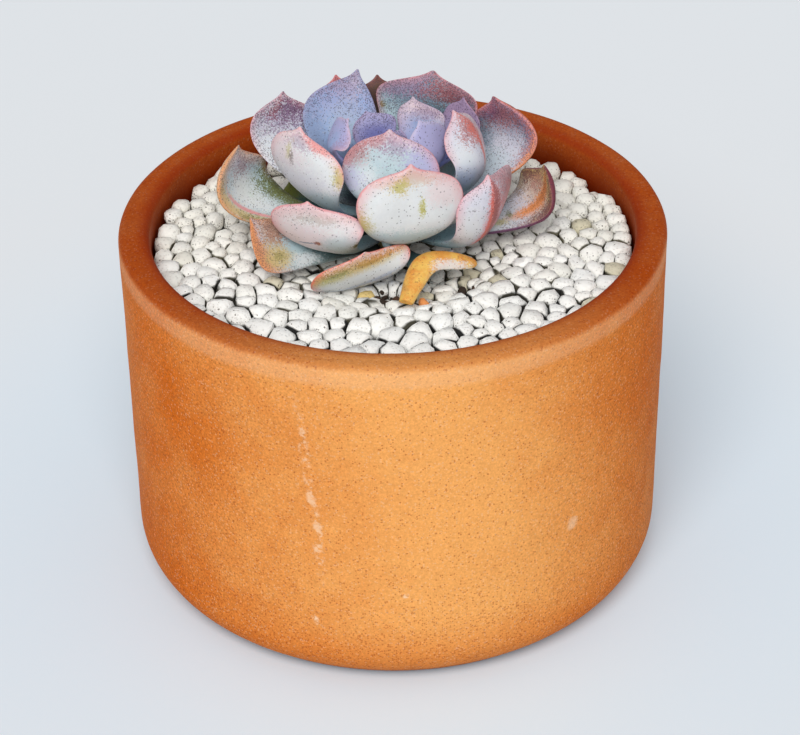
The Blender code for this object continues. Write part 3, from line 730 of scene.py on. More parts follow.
def new_effect(name, inputs, outputs):
    """A shader node group: its wiring, what comes in by name, and what goes out by name."""
    tree = bpy.data.node_groups.new(name, "ShaderNodeTree")
    for label, value in inputs.items():
        kind = "NodeSocketColor" if isinstance(value, tuple) else "NodeSocketFloat"
        socket = tree.interface.new_socket(name=label, in_out="INPUT", socket_type=kind)
        socket.default_value = value
    for label in outputs:
        kind = "NodeSocketColor" if label == "Colour" else "NodeSocketFloat"
        tree.interface.new_socket(name=label, in_out="OUTPUT", socket_type=kind)
    wiring = Wiring(tree)
    return wiring, wiring.node("NodeGroupInput").outputs, wiring.node("NodeGroupOutput").inputs


def cached(build):
    """Builds a node group once and gives the same one each time."""
    kept = {}

    def get():
        if build not in kept:
            kept[build] = build()
        return kept[build]

    return get


@cached
def stipple():
    """Scattered round dots: their mask, at a density from 0 to 1."""
    inputs = {"Size": 0.4 * MM, "Density": 0.3, "Seed": 0.0}
    w, given, out = new_effect("stipple", inputs, ("Mask",))
    shift = w.node("ShaderNodeCombineXYZ", {0: given["Seed"]}).outputs[0]
    spread = w.node("ShaderNodeVectorMath", {0: w.place(), 1: shift}, operation="ADD")
    found = w.cells(spread.outputs[0], w.math("DIVIDE", 1.0, given["Size"]))
    draw = w.node("ShaderNodeSeparateColor", {0: found["Color"]}).outputs
    chosen = w.math("LESS_THAN", draw[0], given["Density"])
    reach = w.scaled(draw[1], 0.25, 0.28)
    dot = w.between(found["Distance"], w.math("ADD", reach, 0.14), reach)
    w.feed(out, {"Mask": w.math("MULTIPLY", chosen, dot)})
    return w.tree


@cached
def mottle():
    """Soft cloudy variation about 1, to multiply a colour with."""
    w, given, out = new_effect("mottle", {"Size": 10 * MM, "Amount": 0.1}, ("Shade",))
    cloud = w.wave(w.place(), w.math("DIVIDE", 1.0, given["Size"]), 4.0, 0.6)
    w.feed(out, {"Shade": w.scaled(cloud, w.math("MULTIPLY", given["Amount"], 2.0), 1.0)})
    return w.tree


@cached
def leaf_spot():
    """One patch at a place on a leaf, with an edge from soft to ragged: its mask."""
    inputs = {
        "Across": 0.0, "Along": 0.5, "Wide": 0.2, "Tall": 0.1, "Face": -1.0, "Ragged": 1.0
    }
    w, given, out = new_effect("leaf_spot", inputs, ("Mask",))
    across = w.math("SUBTRACT", w.attribute("across"), given["Across"])
    along = w.math("SUBTRACT", w.attribute("along"), given["Along"])
    away = w.away(w.math("DIVIDE", across, given["Wide"]), w.math("DIVIDE", along, given["Tall"]))
    wave = w.wave(w.place(), 800.0, 5.0, 0.7)
    dust = w.wave(w.place(), 3200.0, 2.0, 0.7)
    uneven = w.scaled(dust, 2.2, w.math("MULTIPLY", wave, 1.2))
    away = w.scaled(uneven, given["Ragged"], away)
    patch = w.between(away, 1.25, 0.35)
    one_face = w.between(w.math("MULTIPLY", w.attribute("face"), given["Face"]), -0.12, 0.12)
    both = w.math("LESS_THAN", w.math("ABSOLUTE", given["Face"]), 0.5)
    w.feed(out, {"Mask": w.math("MULTIPLY", patch, w.math("MAXIMUM", one_face, both))})
    return w.tree


@cached
def leaf_skin():
    """A leaf's colours from base to tip, the share of the tip colour, and a fine unevenness."""
    parts = [side + part for side in ("Inner", "Outer") for part in (" base", " middle", " tip")]
    inputs = {**dict.fromkeys(parts, NEUTRAL), "Blush": 0.3}
    w, given, out = new_effect("leaf_skin", inputs, ("Colour", "Tip", "Fine"))
    place = w.place()
    along, face, rim = w.attribute("along"), w.attribute("face"), w.attribute("rim")
    cloud = w.wave(place, 260.0, 4.0, 0.6)
    fine = w.wave(place, 1500.0, 5.0, 0.7)
    inner = w.between(face, -0.10, 0.10)

    # Share of the tip colour: strongest at the tip, and reaching down near the rim.
    near_rim = w.between(rim, 3.6, 0.2)
    stretched = w.scaled(near_rim, 0.20, along)
    stretched = w.scaled(cloud, 0.34, stretched)
    dust = w.wave(place, 3400.0, 2.0, 0.7)
    stretched = w.scaled(dust, 0.40, stretched)
    start = w.math("SUBTRACT", 1.05, given["Blush"])
    tip_share = w.between(stretched, w.math("SUBTRACT", start, 0.24), w.math("ADD", start, 0.26))
    middle_share = w.between(w.scaled(cloud, 0.35, along), 0.20, 0.58)

    colours = {}
    for side in ("Inner", "Outer"):
        body = w.mix(middle_share, given[side + " base"], given[side + " middle"])
        colours[side] = w.mix(tip_share, body, given[side + " tip"])
    colour = w.mix(inner, colours["Outer"], colours["Inner"])
    shade = w.scaled(fine, 0.16, w.scaled(cloud, 0.22, 1.0))
    # Painted shade: down between the leaves, near the stem, they are darker.
    shade = w.math("MULTIPLY", shade, w.between(along, 0.04, 0.30, 0.30, 1.0))
    w.feed(out, {"Colour": w.shaded(colour, shade), "Tip": tip_share, "Fine": fine})
    return w.tree


@cached
def leaf_dusting():
    """Fine grit, larger spots and the coloured rim that lie over a leaf's colours."""
    inputs = {
        "Colour": NEUTRAL, "Tip": 0.0, "Fine": 0.0,
        "Rim": NEUTRAL, "Rim strength": 0.8, "Rim width": 0.8,
        "Speck": NEUTRAL, "Grit size": 0.21 * MM, "Grit": 0.3,
        "Spot size": 0.32 * MM, "Spots": 0.3, "Seed": 0.0,
    }
    w, given, out = new_effect("leaf_dusting", inputs, ("Colour", "Roughness", "Height"))
    place = w.place()
    along, face, rim = w.attribute("along"), w.attribute("face"), w.attribute("rim")
    cloud = w.wave(place, 330.0, 3.0, 0.6)
    inner = w.between(face, -0.10, 0.10)
    near_rim = w.between(rim, 3.2, 0.2)

    # The rim: a thin line of full colour, and a wider glow beside it.
    wavy = w.scaled(cloud, 0.9, w.scaled(given["Fine"], 0.7, rim))
    line = w.between(wavy, given["Rim width"], w.math("MULTIPLY", given["Rim width"], 0.25))
    line = w.math("MULTIPLY", line, 0.85)
    glow = w.between(wavy, w.math("MULTIPLY", given["Rim width"], 3.6), 0.0, 0.0, 0.50)
    fade = w.between(along, 0.46, 0.80, 0.08, 1.0)
    fade = w.math("MULTIPLY", fade, given["Rim strength"])
    edge = w.math("MULTIPLY", w.math("MAXIMUM", line, glow), fade)
    colour = w.mix(edge, given["Colour"], given["Rim"])

    # Grit crowds towards the tip and the rim, and is thinner on the outer face.
    crowd = w.scaled(given["Tip"], 0.60, 0.10)
    crowd = w.scaled(near_rim, 0.16, crowd)
    crowd = w.math("MULTIPLY", crowd, w.scaled(inner, 0.60, 0.40))
    density = w.math("MULTIPLY", crowd, w.scaled(cloud, 1.4, given["Grit"]), clamp=True)
    grit = w.effect(stipple(), size=given["Grit size"], density=density, seed=given["Seed"])["Mask"]
    colour = w.tint(colour, grit, 0.62, given["Speck"])
    thin = w.math("MULTIPLY", given["Spots"], w.scaled(cloud, 0.7, 0.09), clamp=True)
    spots = w.effect(stipple(), size=given["Spot size"], density=thin, seed=given["Seed"])["Mask"]
    colour = w.tint(colour, spots, 0.50, given["Speck"])

    roughness = w.scaled(given["Fine"], 0.25, w.scaled(edge, -0.12, 0.56))
    height = w.scaled(given["Fine"], 0.5, w.math("MULTIPLY", grit, -0.2))
    w.feed(out, {"Colour": colour, "Roughness": roughness, "Height": height})
    return w.tree


@cached
def clay_place():
    """Where a point lies on the pot: angle from the camera side in degrees, radius and level."""
    w, _, out = new_effect("clay_place", {}, ("Angle", "Radius", "Level"))
    x, y, z = w.xyz(w.place())
    turned = w.math("ARCTAN2", x, w.math("MULTIPLY", y, -1.0))
    w.feed(out, {"Angle": w.math("DEGREES", turned), "Radius": w.away(x, y), "Level": z})
    return w.tree


@cached
def clay_mark():
    """One broken mark on the pot's side, such as a run of lime: its mask."""
    inputs = {
        "Angle": 0.0, "Level": 30 * MM, "Lean": 0.0, "Wide": 2.0, "Tall": 10 * MM, "Broken": 0.5
    }
    w, given, out = new_effect("clay_mark", inputs, ("Mask",))
    here = w.effect(clay_place())
    drop = w.math("SUBTRACT", here["Level"], given["Level"])
    wobble = w.scaled(w.noise(w.place(), 220.0, 3.0), 2.4, -1.2)
    centre = w.scaled(drop, given["Lean"], w.math("ADD", given["Angle"], wobble))
    sideways = w.math("DIVIDE", w.math("SUBTRACT", here["Angle"], centre), given["Wide"])
    lengthways = w.math("DIVIDE", drop, given["Tall"])
    away = w.away(sideways, lengthways, 4.0)
    speckle = w.noise(w.place(), 620.0, 5.0, 0.7)
    gaps = w.between(speckle, given["Broken"], w.math("ADD", given["Broken"], 0.14))
    outside = w.between(here["Radius"], 49.5 * MM, 49.8 * MM)
    mask = w.math("MULTIPLY", w.between(away, 1.0, 0.35), gaps)
    w.feed(out, {"Mask": w.math("MULTIPLY", mask, outside)})
    return w.tree


@cached
def pitted():
    """Relief of a porous surface: grains and small open pores."""
    w, given, out = new_effect("pitted", {"Size": 1.0 * MM, "Pores": 0.5}, ("Height", "Pore"))
    place = w.place()
    scale = w.math("DIVIDE", 1.0, given["Size"])
    grain = w.noise(place, w.math("MULTIPLY", scale, 2.2), 6.0, 0.65)
    pore = w.between(w.cells(place, scale)["Distance"], 0.34, 0.12)
    pore = w.math("MULTIPLY", pore, given["Pores"])
    w.feed(out, {"Height": w.math("SUBTRACT", grain, pore), "Pore": pore})
    return w.tree


def new_material(name):
    """A material with its wiring and the inputs of its shader."""
    made = bpy.data.materials.new(name)
    made.use_nodes = True
    return made, Wiring(made.node_tree), made.node_tree.nodes["Principled BSDF"].inputs


def leaf_material(name, look, settings, seed):
    made, w, shader = new_material(name)
    colours = {}
    for side, names in (("inner", look.inner), ("outer", look.outer)):
        for part, colour in zip(("base", "middle", "tip"), names):
            colours[f"{side}_{part}"] = PALETTE[colour]
    skin = w.effect(leaf_skin(), blush=look.blush, **colours)
    colour = skin["Colour"]
    for mark in look.marks:
        shape = {field: float(getattr(mark, field)) for field in MARK_SHAPE}
        mask = w.effect(leaf_spot(), **shape)["Mask"]
        colour = w.tint(colour, mask, mark.strength, PALETTE[mark.colour])
    dusted = w.effect(
        leaf_dusting(),
        colour=colour,
        tip=skin["Tip"],
        fine=skin["Fine"],
        rim=PALETTE[look.rim],
        rim_strength=look.rim_strength,
        rim_width=look.rim_width,
        speck=settings.speck,
        grit_size=settings.grit_size,
        grit=look.grit,
        spot_size=settings.speck_size,
        spots=look.spots,
        seed=seed,
    )
    w.feed(shader, {
        "Base Color": dusted["Colour"],
        "Roughness": dusted["Roughness"],
        "Normal": w.bump(dusted["Height"], 0.35, 0.15 * MM),
        "Subsurface Weight": 0.12,
        "Subsurface Radius": (1.0, 0.7, 0.45),
        "Subsurface Scale": 1.2 * MM,
        "Specular IOR Level": 0.35,
    })
    return made


def clay_material(settings):
    made, w, shader = new_material("terracotta_clay")
    clay, deep_clay = settings.clay, settings.clay_deep
    place = w.place()
    here = w.effect(clay_place())
    level, lip_level = here["Level"], settings.height
    cloud = w.noise(place, 26.0, 5.0, 0.62)
    patches = w.noise(place, 150.0, 4.0, 0.65)
    share = w.between(w.scaled(patches, 0.35, w.math("MULTIPLY", cloud, 0.75)), 0.38, 0.72)
    # Painted highlight: paler where the side faces the camera and its light.
    from_highlight = w.math("ABSOLUTE", w.math("SUBTRACT", here["Angle"], HIGHLIGHT_SIDE))
    worn = w.between(from_highlight, 62.0, 4.0, 0.0, 0.75)
    colour = w.mix(w.scaled(share, 0.38, worn, clamp=True), deep_clay, clay)
    # Painted shade: darker and redder towards the foot.
    foot = w.between(level, 18 * MM, 3 * MM, 0.0, 0.60)
    colour = w.mix(foot, colour, deep_clay)
    # The grain shows more strongly away from the painted highlight.
    grain = w.noise(place, 2300.0, 3.0, 0.7)
    coarse = w.scaled(worn, -1.1, 1.65)
    colour = w.shaded(colour, w.scaled(w.math("SUBTRACT", grain, 0.5), coarse, 1.0))
    low = w.between(level, 34 * MM, 4 * MM, 0.10, 0.34)
    dark = w.effect(stipple(), size=0.36 * MM, density=low, seed=2.0)["Mask"]
    colour = w.tint(colour, dark, 0.42, settings.clay_dark)
    pale = w.effect(stipple(), size=0.34 * MM, density=0.14, seed=5.0)["Mask"]
    colour = w.tint(colour, pale, 0.26, settings.salt_and_highlight)

    # Darker, redder clay: all of the inside, and the top of the lip, less so at the front where the
    # painted highlight is.
    line = w.scaled(cloud, 1.0 * MM, lip_level - 2.1 * MM)
    lip = w.between(level, line, w.math("ADD", line, 1.2 * MM))
    dark_lip = w.math("MULTIPLY", lip, w.scaled(worn, -0.40, 0.64))
    colour = w.mix(dark_lip, colour, settings.clay_dark)
    wall_middle = settings.radius - 0.45 * settings.wall
    wall_inside = settings.radius - 0.95 * settings.wall
    inside = w.between(here["Radius"], wall_middle, wall_inside)
    # Painted shade inside the pot: the dark clay grows stronger further down, and a painted shadow
    # falls below the lip.
    deep = w.between(level, lip_level, lip_level - 10 * MM, 0.66, 1.0)
    colour = w.tint(colour, inside, deep, settings.clay_dark)
    shadow = w.between(level, lip_level - 1.5 * MM, lip_level - 7.5 * MM, 0.0, 0.34)
    colour = w.shaded(colour, w.math("SUBTRACT", 1.0, w.math("MULTIPLY", inside, shadow)))
    # Painted highlight: a paler band under the lip, outside, in the bloom colour.
    under = w.between(level, lip_level - 5.0 * MM, lip_level - 3.4 * MM)
    under = w.math("MULTIPLY", under, w.math("SUBTRACT", 1.0, w.math("MAXIMUM", lip, inside)))
    colour = w.tint(colour, under, 0.18, settings.salt_and_highlight)

    for mark in CLAY_MARKS:
        mask = w.effect(
            clay_mark(), angle=mark.angle, level=mark.level * MM, lean=mark.lean / MM,
            wide=mark.wide, tall=mark.tall * MM, broken=mark.broken,
        )["Mask"]
        colour = w.tint(colour, mask, mark.strength, settings.salt_and_highlight)
    relief = w.effect(pitted(), size=0.6 * MM, pores=0.35)["Height"]
    height = w.scaled(patches, 0.5, w.math("MULTIPLY", relief, 0.35))
    w.feed(shader, {
        "Base Color": colour,
        "Roughness": w.scaled(grain, 0.25, 0.55),
        "Normal": w.bump(height, 0.25, 0.3 * MM),
        "Specular IOR Level": 0.07,
    })
    return made


def pumice_material(settings):
    made, w, shader = new_material("pumice_stone")
    place = w.place()
    tone = w.attribute("tone")
    grey = w.between(tone, 0.10, 0.60)
    colour = w.mix(grey, settings.pumice_grey, settings.pumice)
    buff = w.between(tone, 0.035, 0.025)
    colour = w.tint(colour, buff, 0.7, settings.pumice_buff)
    yellow = w.math("GREATER_THAN", tone, (1.0 + OWN_COLOUR) / 2)
    colour = w.tint(colour, yellow, 0.85, settings.pumice_yellow)
    grain = w.noise(place, 1300.0, 5.0, 0.7)
    colour = w.shaded(colour, w.scaled(grain, 0.22, 0.93))
    relief = w.effect(pitted(), size=0.6 * MM, pores=0.8)
    colour = w.shaded(colour, w.scaled(relief["Pore"], -0.22, 1.0))
    height = w.xyz(place)["Z"]
    # Painted shade: the further below the top of the stones, the darker.
    below = w.math("SUBTRACT", w.attribute("level"), height)
    colour = w.shaded(colour, w.between(below, 2.8 * MM, 6.0 * MM, 1.0, 0.10))
    # Dust and shade gather round each stone's lower half, down in the gaps.
    rise = w.math("SUBTRACT", height, w.attribute("centre"))
    rise = w.scaled(grain, 0.5, w.math("DIVIDE", rise, w.attribute("radius")))
    colour = w.shaded(colour, w.between(rise, 0.10, -0.60, 1.0, 0.15))
    # Painted shadow in the thin gaps where the stones meet.
    colour = w.shaded(colour, w.between(w.attribute("touch"), 1.00, 1.12, 0.02, 1.0))
    # Weathered stones, mostly at the back, are buffer and carry more dirt dots.
    worn = w.attribute("worn")
    colour = w.tint(colour, worn, 0.22, settings.pumice_buff)
    pits = w.between(w.scaled(grain, 0.8, rise), 1.5, 0.5, 0.0, 0.22)
    pits = w.scaled(pits, w.scaled(worn, 2.2, 0.35), 0.012)
    dirt = w.effect(stipple(), size=0.34 * MM, density=pits, seed=9.0)["Mask"]
    colour = w.tint(colour, dirt, 0.72, settings.soil)
    w.feed(shader, {
        "Base Color": colour,
        "Roughness": 0.92,
        "Normal": w.bump(relief["Height"], 0.6, 0.4 * MM),
        "Specular IOR Level": 0.2,
    })
    return made


def soil_material(settings):
    made, w, shader = new_material("potting_soil")
    place = w.place()
    grain = w.noise(place, 700.0, 6.0, 0.7)
    colour = w.shaded(settings.soil, w.scaled(grain, 1.2, 0.4))
    bark = w.effect(stipple(), size=1.4 * MM, density=0.12, seed=4.0)["Mask"]
    colour = w.tint(colour, bark, 0.7, PALETTE["umber"])
    relief = w.effect(pitted(), size=1.2 * MM, pores=0.6)["Height"]
    w.feed(shader, {
        "Base Color": colour,
        "Roughness": w.scaled(grain, 0.2, 0.75),
        "Normal": w.bump(relief, 1.0, 0.8 * MM),
    })
    return made


def crumb_material(settings):
    made, w, shader = new_material("soil_crumb")
    tone = w.attribute("tone")
    grain = w.noise(w.place(), 1800.0, 4.0, 0.7)
    colour = w.mix(w.between(tone, 0.55, 0.9), settings.soil, PALETTE["umber"])
    colour = w.mix(w.between(tone, 1.4, 1.6), colour, PALETTE["orange"])
    w.feed(shader, {
        "Base Color": w.shaded(colour, w.scaled(grain, 1.0, 0.5)),
        "Roughness": w.scaled(grain, 0.3, 0.65),
        "Normal": w.bump(grain, 0.8, 0.4 * MM),
    })
    return made


def stem_material(settings):
    made, w, shader = new_material("stem_skin")
    place = w.place()
    grain = w.noise(place, 900.0, 5.0, 0.65)
    inputs = {"Vector": place, "Scale": 160.0, "Distortion": 6.0, "Detail": 3.0}
    bands = w.node("ShaderNodeTexWave", inputs, wave_type="BANDS", bands_direction="Z")
    rings = bands.outputs["Fac"]
    colour = w.mix(rings, PALETTE["umber"], settings.bark)
    w.feed(shader, {
        "Base Color": w.shaded(colour, w.scaled(grain, 0.6, 0.7)),
        "Roughness": w.scaled(grain, 0.3, 0.55),
        "Normal": w.bump(rings, 0.5, 0.3 * MM),
    })
    return made


def withered_material(settings):
    made, w, shader = new_material("withered_leaf_skin")
    place = w.place()
    cloud = w.noise(place, 420.0, 5.0, 0.65)
    colour = w.mix(w.between(cloud, 0.35, 0.65), settings.dry, settings.dry_deep)
    dried = w.between(w.noise(place, 180.0, 4.0, 0.7), 0.54, 0.66)
    colour = w.tint(colour, dried, 0.40, PALETTE["rust"])
    edge = w.between(w.math("ABSOLUTE", w.attribute("across")), 0.60, 0.95)
    colour = w.tint(colour, edge, 0.45, PALETTE["straw"])
    pale = w.effect(
        leaf_spot(), across=0.8, along=0.72, wide=0.55, tall=0.26, face=0.0, ragged=0.9
    )["Mask"]
    colour = w.tint(colour, pale, 0.75, PALETTE["chalk"])
    dots = w.effect(stipple(), size=settings.speck_size, density=0.14, seed=1.0)["Mask"]
    colour = w.tint(colour, dots, 0.45, PALETTE["rust"])
    w.feed(shader, {
        "Base Color": colour,
        "Roughness": w.scaled(cloud, 0.3, 0.45),
        "Normal": w.bump(cloud, 0.8, 0.6 * MM),
        "Subsurface Weight": 0.1,
        "Subsurface Scale": 1.0 * MM,
    })
    return made


def floor_material(settings):
    made, w, shader = new_material("pale_floor")
    shade = w.effect(mottle(), size=0.4, amount=0.012)["Shade"]
    # A painted cool tint near the pot that cancels the warm light the clay reflects onto the floor.
    away = w.node("ShaderNodeVectorMath", {0: w.place()}, operation="LENGTH")
    near = w.between(away.outputs["Value"], 150 * MM, 50 * MM)
    colour = w.mix(near, settings.floor, settings.floor_near)
    w.feed(shader, {
        "Base Color": w.shaded(colour, shade), "Roughness": 0.8, "Specular IOR Level": 0.1
    })
    return made


def mesh_from(bm, name):
    mesh = bpy.data.meshes.new(name)
    bm.to_mesh(mesh)
    bm.free()
    return mesh


def in_scene(name, data):
    """A new object in the scene, at the origin."""
    obj = bpy.data.objects.new(name, data)
    bpy.context.scene.collection.objects.link(obj)
    return obj


def object_from(bm, name, material):
    """A finished mesh object, from a bmesh in the object's own frame."""
    bmesh.ops.recalc_face_normals(bm, faces=bm.faces)
    mesh = mesh_from(bm, name)
    mesh.materials.append(material)
    mesh.shade_smooth()
    return in_scene(name, mesh)


def made_plain(obj):
    """Takes the result of the object's modifiers as its mesh, and removes them."""
    bpy.context.view_layer.update()
    graph = bpy.context.evaluated_depsgraph_get()
    mesh = bpy.data.meshes.new_from_object(obj.evaluated_get(graph), depsgraph=graph)
    obj.modifiers.clear()
    old = obj.data
    obj.data = mesh
    bpy.data.meshes.remove(old)
    mesh.name = obj.name
    return obj


def keep_values(mesh, name, values):
    """Keeps a value for each point of the mesh, for its material to use."""
    kept = mesh.attributes.new(name, "FLOAT", "POINT")
    kept.data.foreach_set("value", np.asarray(values, np.float32))


def values_of(mesh, name):
    found = np.empty(len(mesh.vertices), np.float32)
    mesh.attributes[name].data.foreach_get("value", found)
    return found


def settle(obj, node):
    """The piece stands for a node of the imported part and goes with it."""
    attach(obj, "root")
    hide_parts(node)
    return obj


def arc(centre, radius, start, end, steps):
    """Points of an arc from one angle to another, in degrees."""
    angles = [math.radians(start + (end - start) * i / steps) for i in range(steps + 1)]
    return [(centre[0] + radius * math.cos(a), centre[1] + radius * math.sin(a)) for a in angles]


def rings_of(bm, outline, steps, point):
    """Rings of vertices round the axis, placed by radius, height and angle."""
    turns = [math.tau * i / steps for i in range(steps)]
    return [
        [bm.verts.new(point(radius, height, turn)) for turn in turns] for radius, height in outline
    ]


def ring_skin(bm, rings):
    """Quads between rings of vertices, with a face on each end."""
    for lower, upper in zip(rings, rings[1:]):
        for i in range(len(lower)):
            j = (i + 1) % len(lower)
            bm.faces.new((lower[i], lower[j], upper[j], upper[i]))
    bm.faces.new(list(reversed(rings[0])))
    bm.faces.new(rings[-1])


def pot_profile(s):
    """Outline of the wall's section, from the lip down outside and back up inside."""
    inner = s.radius - s.wall
    profile = arc((s.radius - s.lip_round, s.height - s.lip_round), s.lip_round, 90, 0, 8)
    top, foot = s.height - s.lip_round, s.foot_round
    profile += [(s.radius, top + (foot - top) * i / WALL_ROWS) for i in range(1, WALL_ROWS)]
    profile += arc((s.radius - s.foot_round, s.foot_round), s.foot_round, 0, -90, 14)
    profile += [(s.drain_radius, 0.0), (s.drain_radius, s.floor)]
    profile += arc((inner - s.inner_round, s.floor + s.inner_round), s.inner_round, -90, 0, 4)
    profile += [(inner, s.height * share) for share in (0.3, 0.6, 0.8, 0.85, 0.9, 0.94)]
    profile += arc((inner + s.lip_round, s.height - s.lip_round), s.lip_round, 180, 90, 8)
    return profile


def hand_turned(x, z, angle, s):
    """A profile point moved in a little where the potter's turning left the wall uneven."""
    at = Vector((math.cos(angle) * 1.4, math.sin(angle) * 1.4, z * 90))
    uneven = noise.noise(at) + 0.5 * noise.noise(at * 2.7)
    sunk = 0.12 * MM * (1.2 - uneven) if x > s.drain_radius * 1.5 else 0.0
    rim = max(0.0, z - s.height + s.lip_round) / s.lip_round
    lowered = 0.10 * MM * rim * (1 + noise.noise(at * 2.1))
    inside = x < s.radius - s.wall * 0.6
    return x + (sunk if inside else -sunk), z - lowered


def build_pot(s):
    bm = bmesh.new()
    profile = pot_profile(s)
    columns = []
    for i in range(s.steps):
        angle = math.tau * i / s.steps
        column = []
        for x, z in profile:
            x, z = hand_turned(x, z, angle, s)
            column.append(bm.verts.new((x * math.cos(angle), x * math.sin(angle), z)))
        columns.append(column)
    for first, second in zip(columns, columns[1:] + columns[:1]):
        for i in range(len(profile)):
            j = (i + 1) % len(profile)
            bm.faces.new((first[i], first[j], second[j], second[i]))
    obj = object_from(bm, "clay_pot", clay_material(s))
    obj.data.set_sharp_from_angle(angle=math.radians(50))
    return settle(obj, "pot")


def dressing_level(x, y, s):
    """Height of the stones' tops: lower by the stem, and banked up along the wall at the back."""
    away = np.hypot(x - STEM_CENTRE.x, y - STEM_CENTRE.y)
    by_wall = np.clip((np.hypot(x, y) - 0.70 * FILL_RADIUS) / (0.25 * FILL_RADIUS), 0, 1)
    at_back = np.clip((y + 6 * MM) / (16 * MM), 0, 1)
    dip = s.dip * np.clip(1 - (away / s.dip_radius) ** 4, 0, 1)
    return s.top + s.bank * by_wall * at_back - dip


def frontness(at):
    """From 0 at the back of the pot to 1 at its front, where the larger stones lie."""
    return np.clip((14 * MM - at[:, 1]) / (48 * MM), 0, 1)


def settled_stones(s):
    """Centres and radii of stones that press each other apart under their weight."""
    rng = np.random.default_rng(s.seed)
    radii = rng.triangular(s.small, s.usual, s.large, s.stones)
    turn = rng.uniform(0, math.tau, s.stones)
    reach = np.sqrt(rng.uniform(0.01, 1, s.stones)) * (FILL_RADIUS - s.usual)
    low = SOIL_BOX[1].z + 0.3 * MM
    height = rng.uniform(low, s.top, s.stones)
    at = np.stack([reach * np.cos(turn), reach * np.sin(turn), height], 1)
    radii *= 0.68 + 0.46 * frontness(at)
    stem = np.array((STEM_CENTRE.x, STEM_CENTRE.y))
    for _ in range(SETTLING_STEPS):
        apart = at[:, None] - at[None]
        gap = np.linalg.norm(apart, axis=2) + TINY
        push = np.clip(CLOSEST * (radii[:, None] + radii[None]) - gap, 0, None)
        np.fill_diagonal(push, 0)
        at += EASING * (apart / gap[..., None] * push[..., None]).sum(axis=1)
        at[:, 2] -= SINKING
        # Inside the wall, outside the stem's hole, and off the bare patches.
        from_axis = np.maximum(np.hypot(at[:, 0], at[:, 1]), TINY)
        at[:, :2] *= np.minimum(1, (FILL_RADIUS - radii) / from_axis)[:, None]
        from_stem = at[:, :2] - stem
        away = np.maximum(np.linalg.norm(from_stem, axis=1), TINY)
        room = np.maximum(1, (HOLE_RADIUS + 0.9 * radii) / away)
        at[:, :2] = stem + from_stem * room[:, None]
        for x, y, reach in SOIL_PATCHES:
            from_patch = at[:, :2] - np.array((x, y)) * MM
            away = np.maximum(np.linalg.norm(from_patch, axis=1), TINY)
            room = np.maximum(1, (reach * MM + 0.85 * radii) / away)
            at[:, :2] += from_patch * (room - 1)[:, None]
        tops = dressing_level(at[:, 0], at[:, 1], s)
        at[:, 2] = np.clip(at[:, 2], low + 0.6 * radii, tops - 0.95 * radii)
    return at, radii


def pebble(name, seed):
    """A small broken stone of about radius 1: a ball cut by random flats."""
    rng = np.random.default_rng(seed)
    bm = bmesh.new()
    bmesh.ops.create_icosphere(bm, subdivisions=2, radius=1.20)
    for _ in range(9):
        flat = Vector(rng.normal(size=3)).normalized()
        reach = rng.uniform(0.84, 1.04)
        for vert in bm.verts:
            vert.co -= max(0.0, vert.co.dot(flat) - reach) * flat
    for vert in bm.verts:
        vert.co *= rng.uniform(0.97, 1.03)
    return bpy.data.objects.new(name, mesh_from(bm, name))


def shape_library(name, count, seed):
    """A collection, outside the scene, with the stone shapes to draw from."""
    shapes = bpy.data.collections.new(name)
    for index in range(count):
        shapes.objects.link(pebble(f"{name}_{index}", seed + index))
    return shapes


def scatter_tree(name):
    """Geometry nodes that put a random shape on each point, sized by the point's own radius."""
    tree = bpy.data.node_groups.new(name, "GeometryNodeTree")
    for label, kind, side in (
        ("Points", "Geometry", "INPUT"),
        ("Shapes", "Collection", "INPUT"),
        ("Uneven", "Float", "INPUT"),
        ("Seed", "Int", "INPUT"),
        ("Material", "Material", "INPUT"),
        ("Stones", "Geometry", "OUTPUT"),
    ):
        tree.interface.new_socket(name=label, in_out=side, socket_type="NodeSocket" + kind)
    w = Wiring(tree)
    given = w.node("NodeGroupInput").outputs
    inputs = {"Collection": given["Shapes"], "Separate Children": True, "Reset Children": True}
    shapes = w.node("GeometryNodeCollectionInfo", inputs)

    def draw(kind, low, high, own_seed):
        """A random value for each point, from low to high, with a seed of its own."""
        made = w.node("FunctionNodeRandomValue", data_type=kind)
        first, out = {"FLOAT_VECTOR": (0, 0), "INT": (4, 2)}[kind]
        seed = w.math("ADD", given["Seed"], own_seed)
        w.feed(made.inputs, {first: low, first + 1: high, "Seed": seed})
        return made.outputs[out]

    radius = w.node("GeometryNodeInputNamedAttribute", {"Name": "radius"}, data_type="FLOAT")
    uneven = draw("FLOAT_VECTOR", (-1, -1, -1), (1, 1, 1), 6.0)
    inputs = {0: uneven, 1: given["Uneven"], 2: (1.06, 1.06, 1.06)}
    stretch = w.node("ShaderNodeVectorMath", inputs, operation="MULTIPLY_ADD")
    size = w.node("ShaderNodeVectorMath", operation="SCALE")
    w.feed(size.inputs, {0: stretch.outputs[0], "Scale": radius.outputs["Attribute"]})
    # The index of a shape starts again from the first when it runs past the last.
    place = w.node("GeometryNodeInstanceOnPoints", {
        "Points": given["Points"],
        "Instance": shapes.outputs[0],
        "Pick Instance": True,
        "Instance Index": draw("INT", 0, 63, 10.0),
        "Rotation": draw("FLOAT_VECTOR", (0, 0, 0), (math.tau, math.tau, math.tau), 12.0),
        "Scale": size.outputs[0],
    })
    real = w.node("GeometryNodeRealizeInstances", {0: place.outputs[0]})
    inputs = {"Geometry": real.outputs[0], "Material": given["Material"]}
    paint = w.node("GeometryNodeSetMaterial", inputs)
    w.feed(w.node("NodeGroupOutput").inputs, {0: paint.outputs[0]})
    return tree


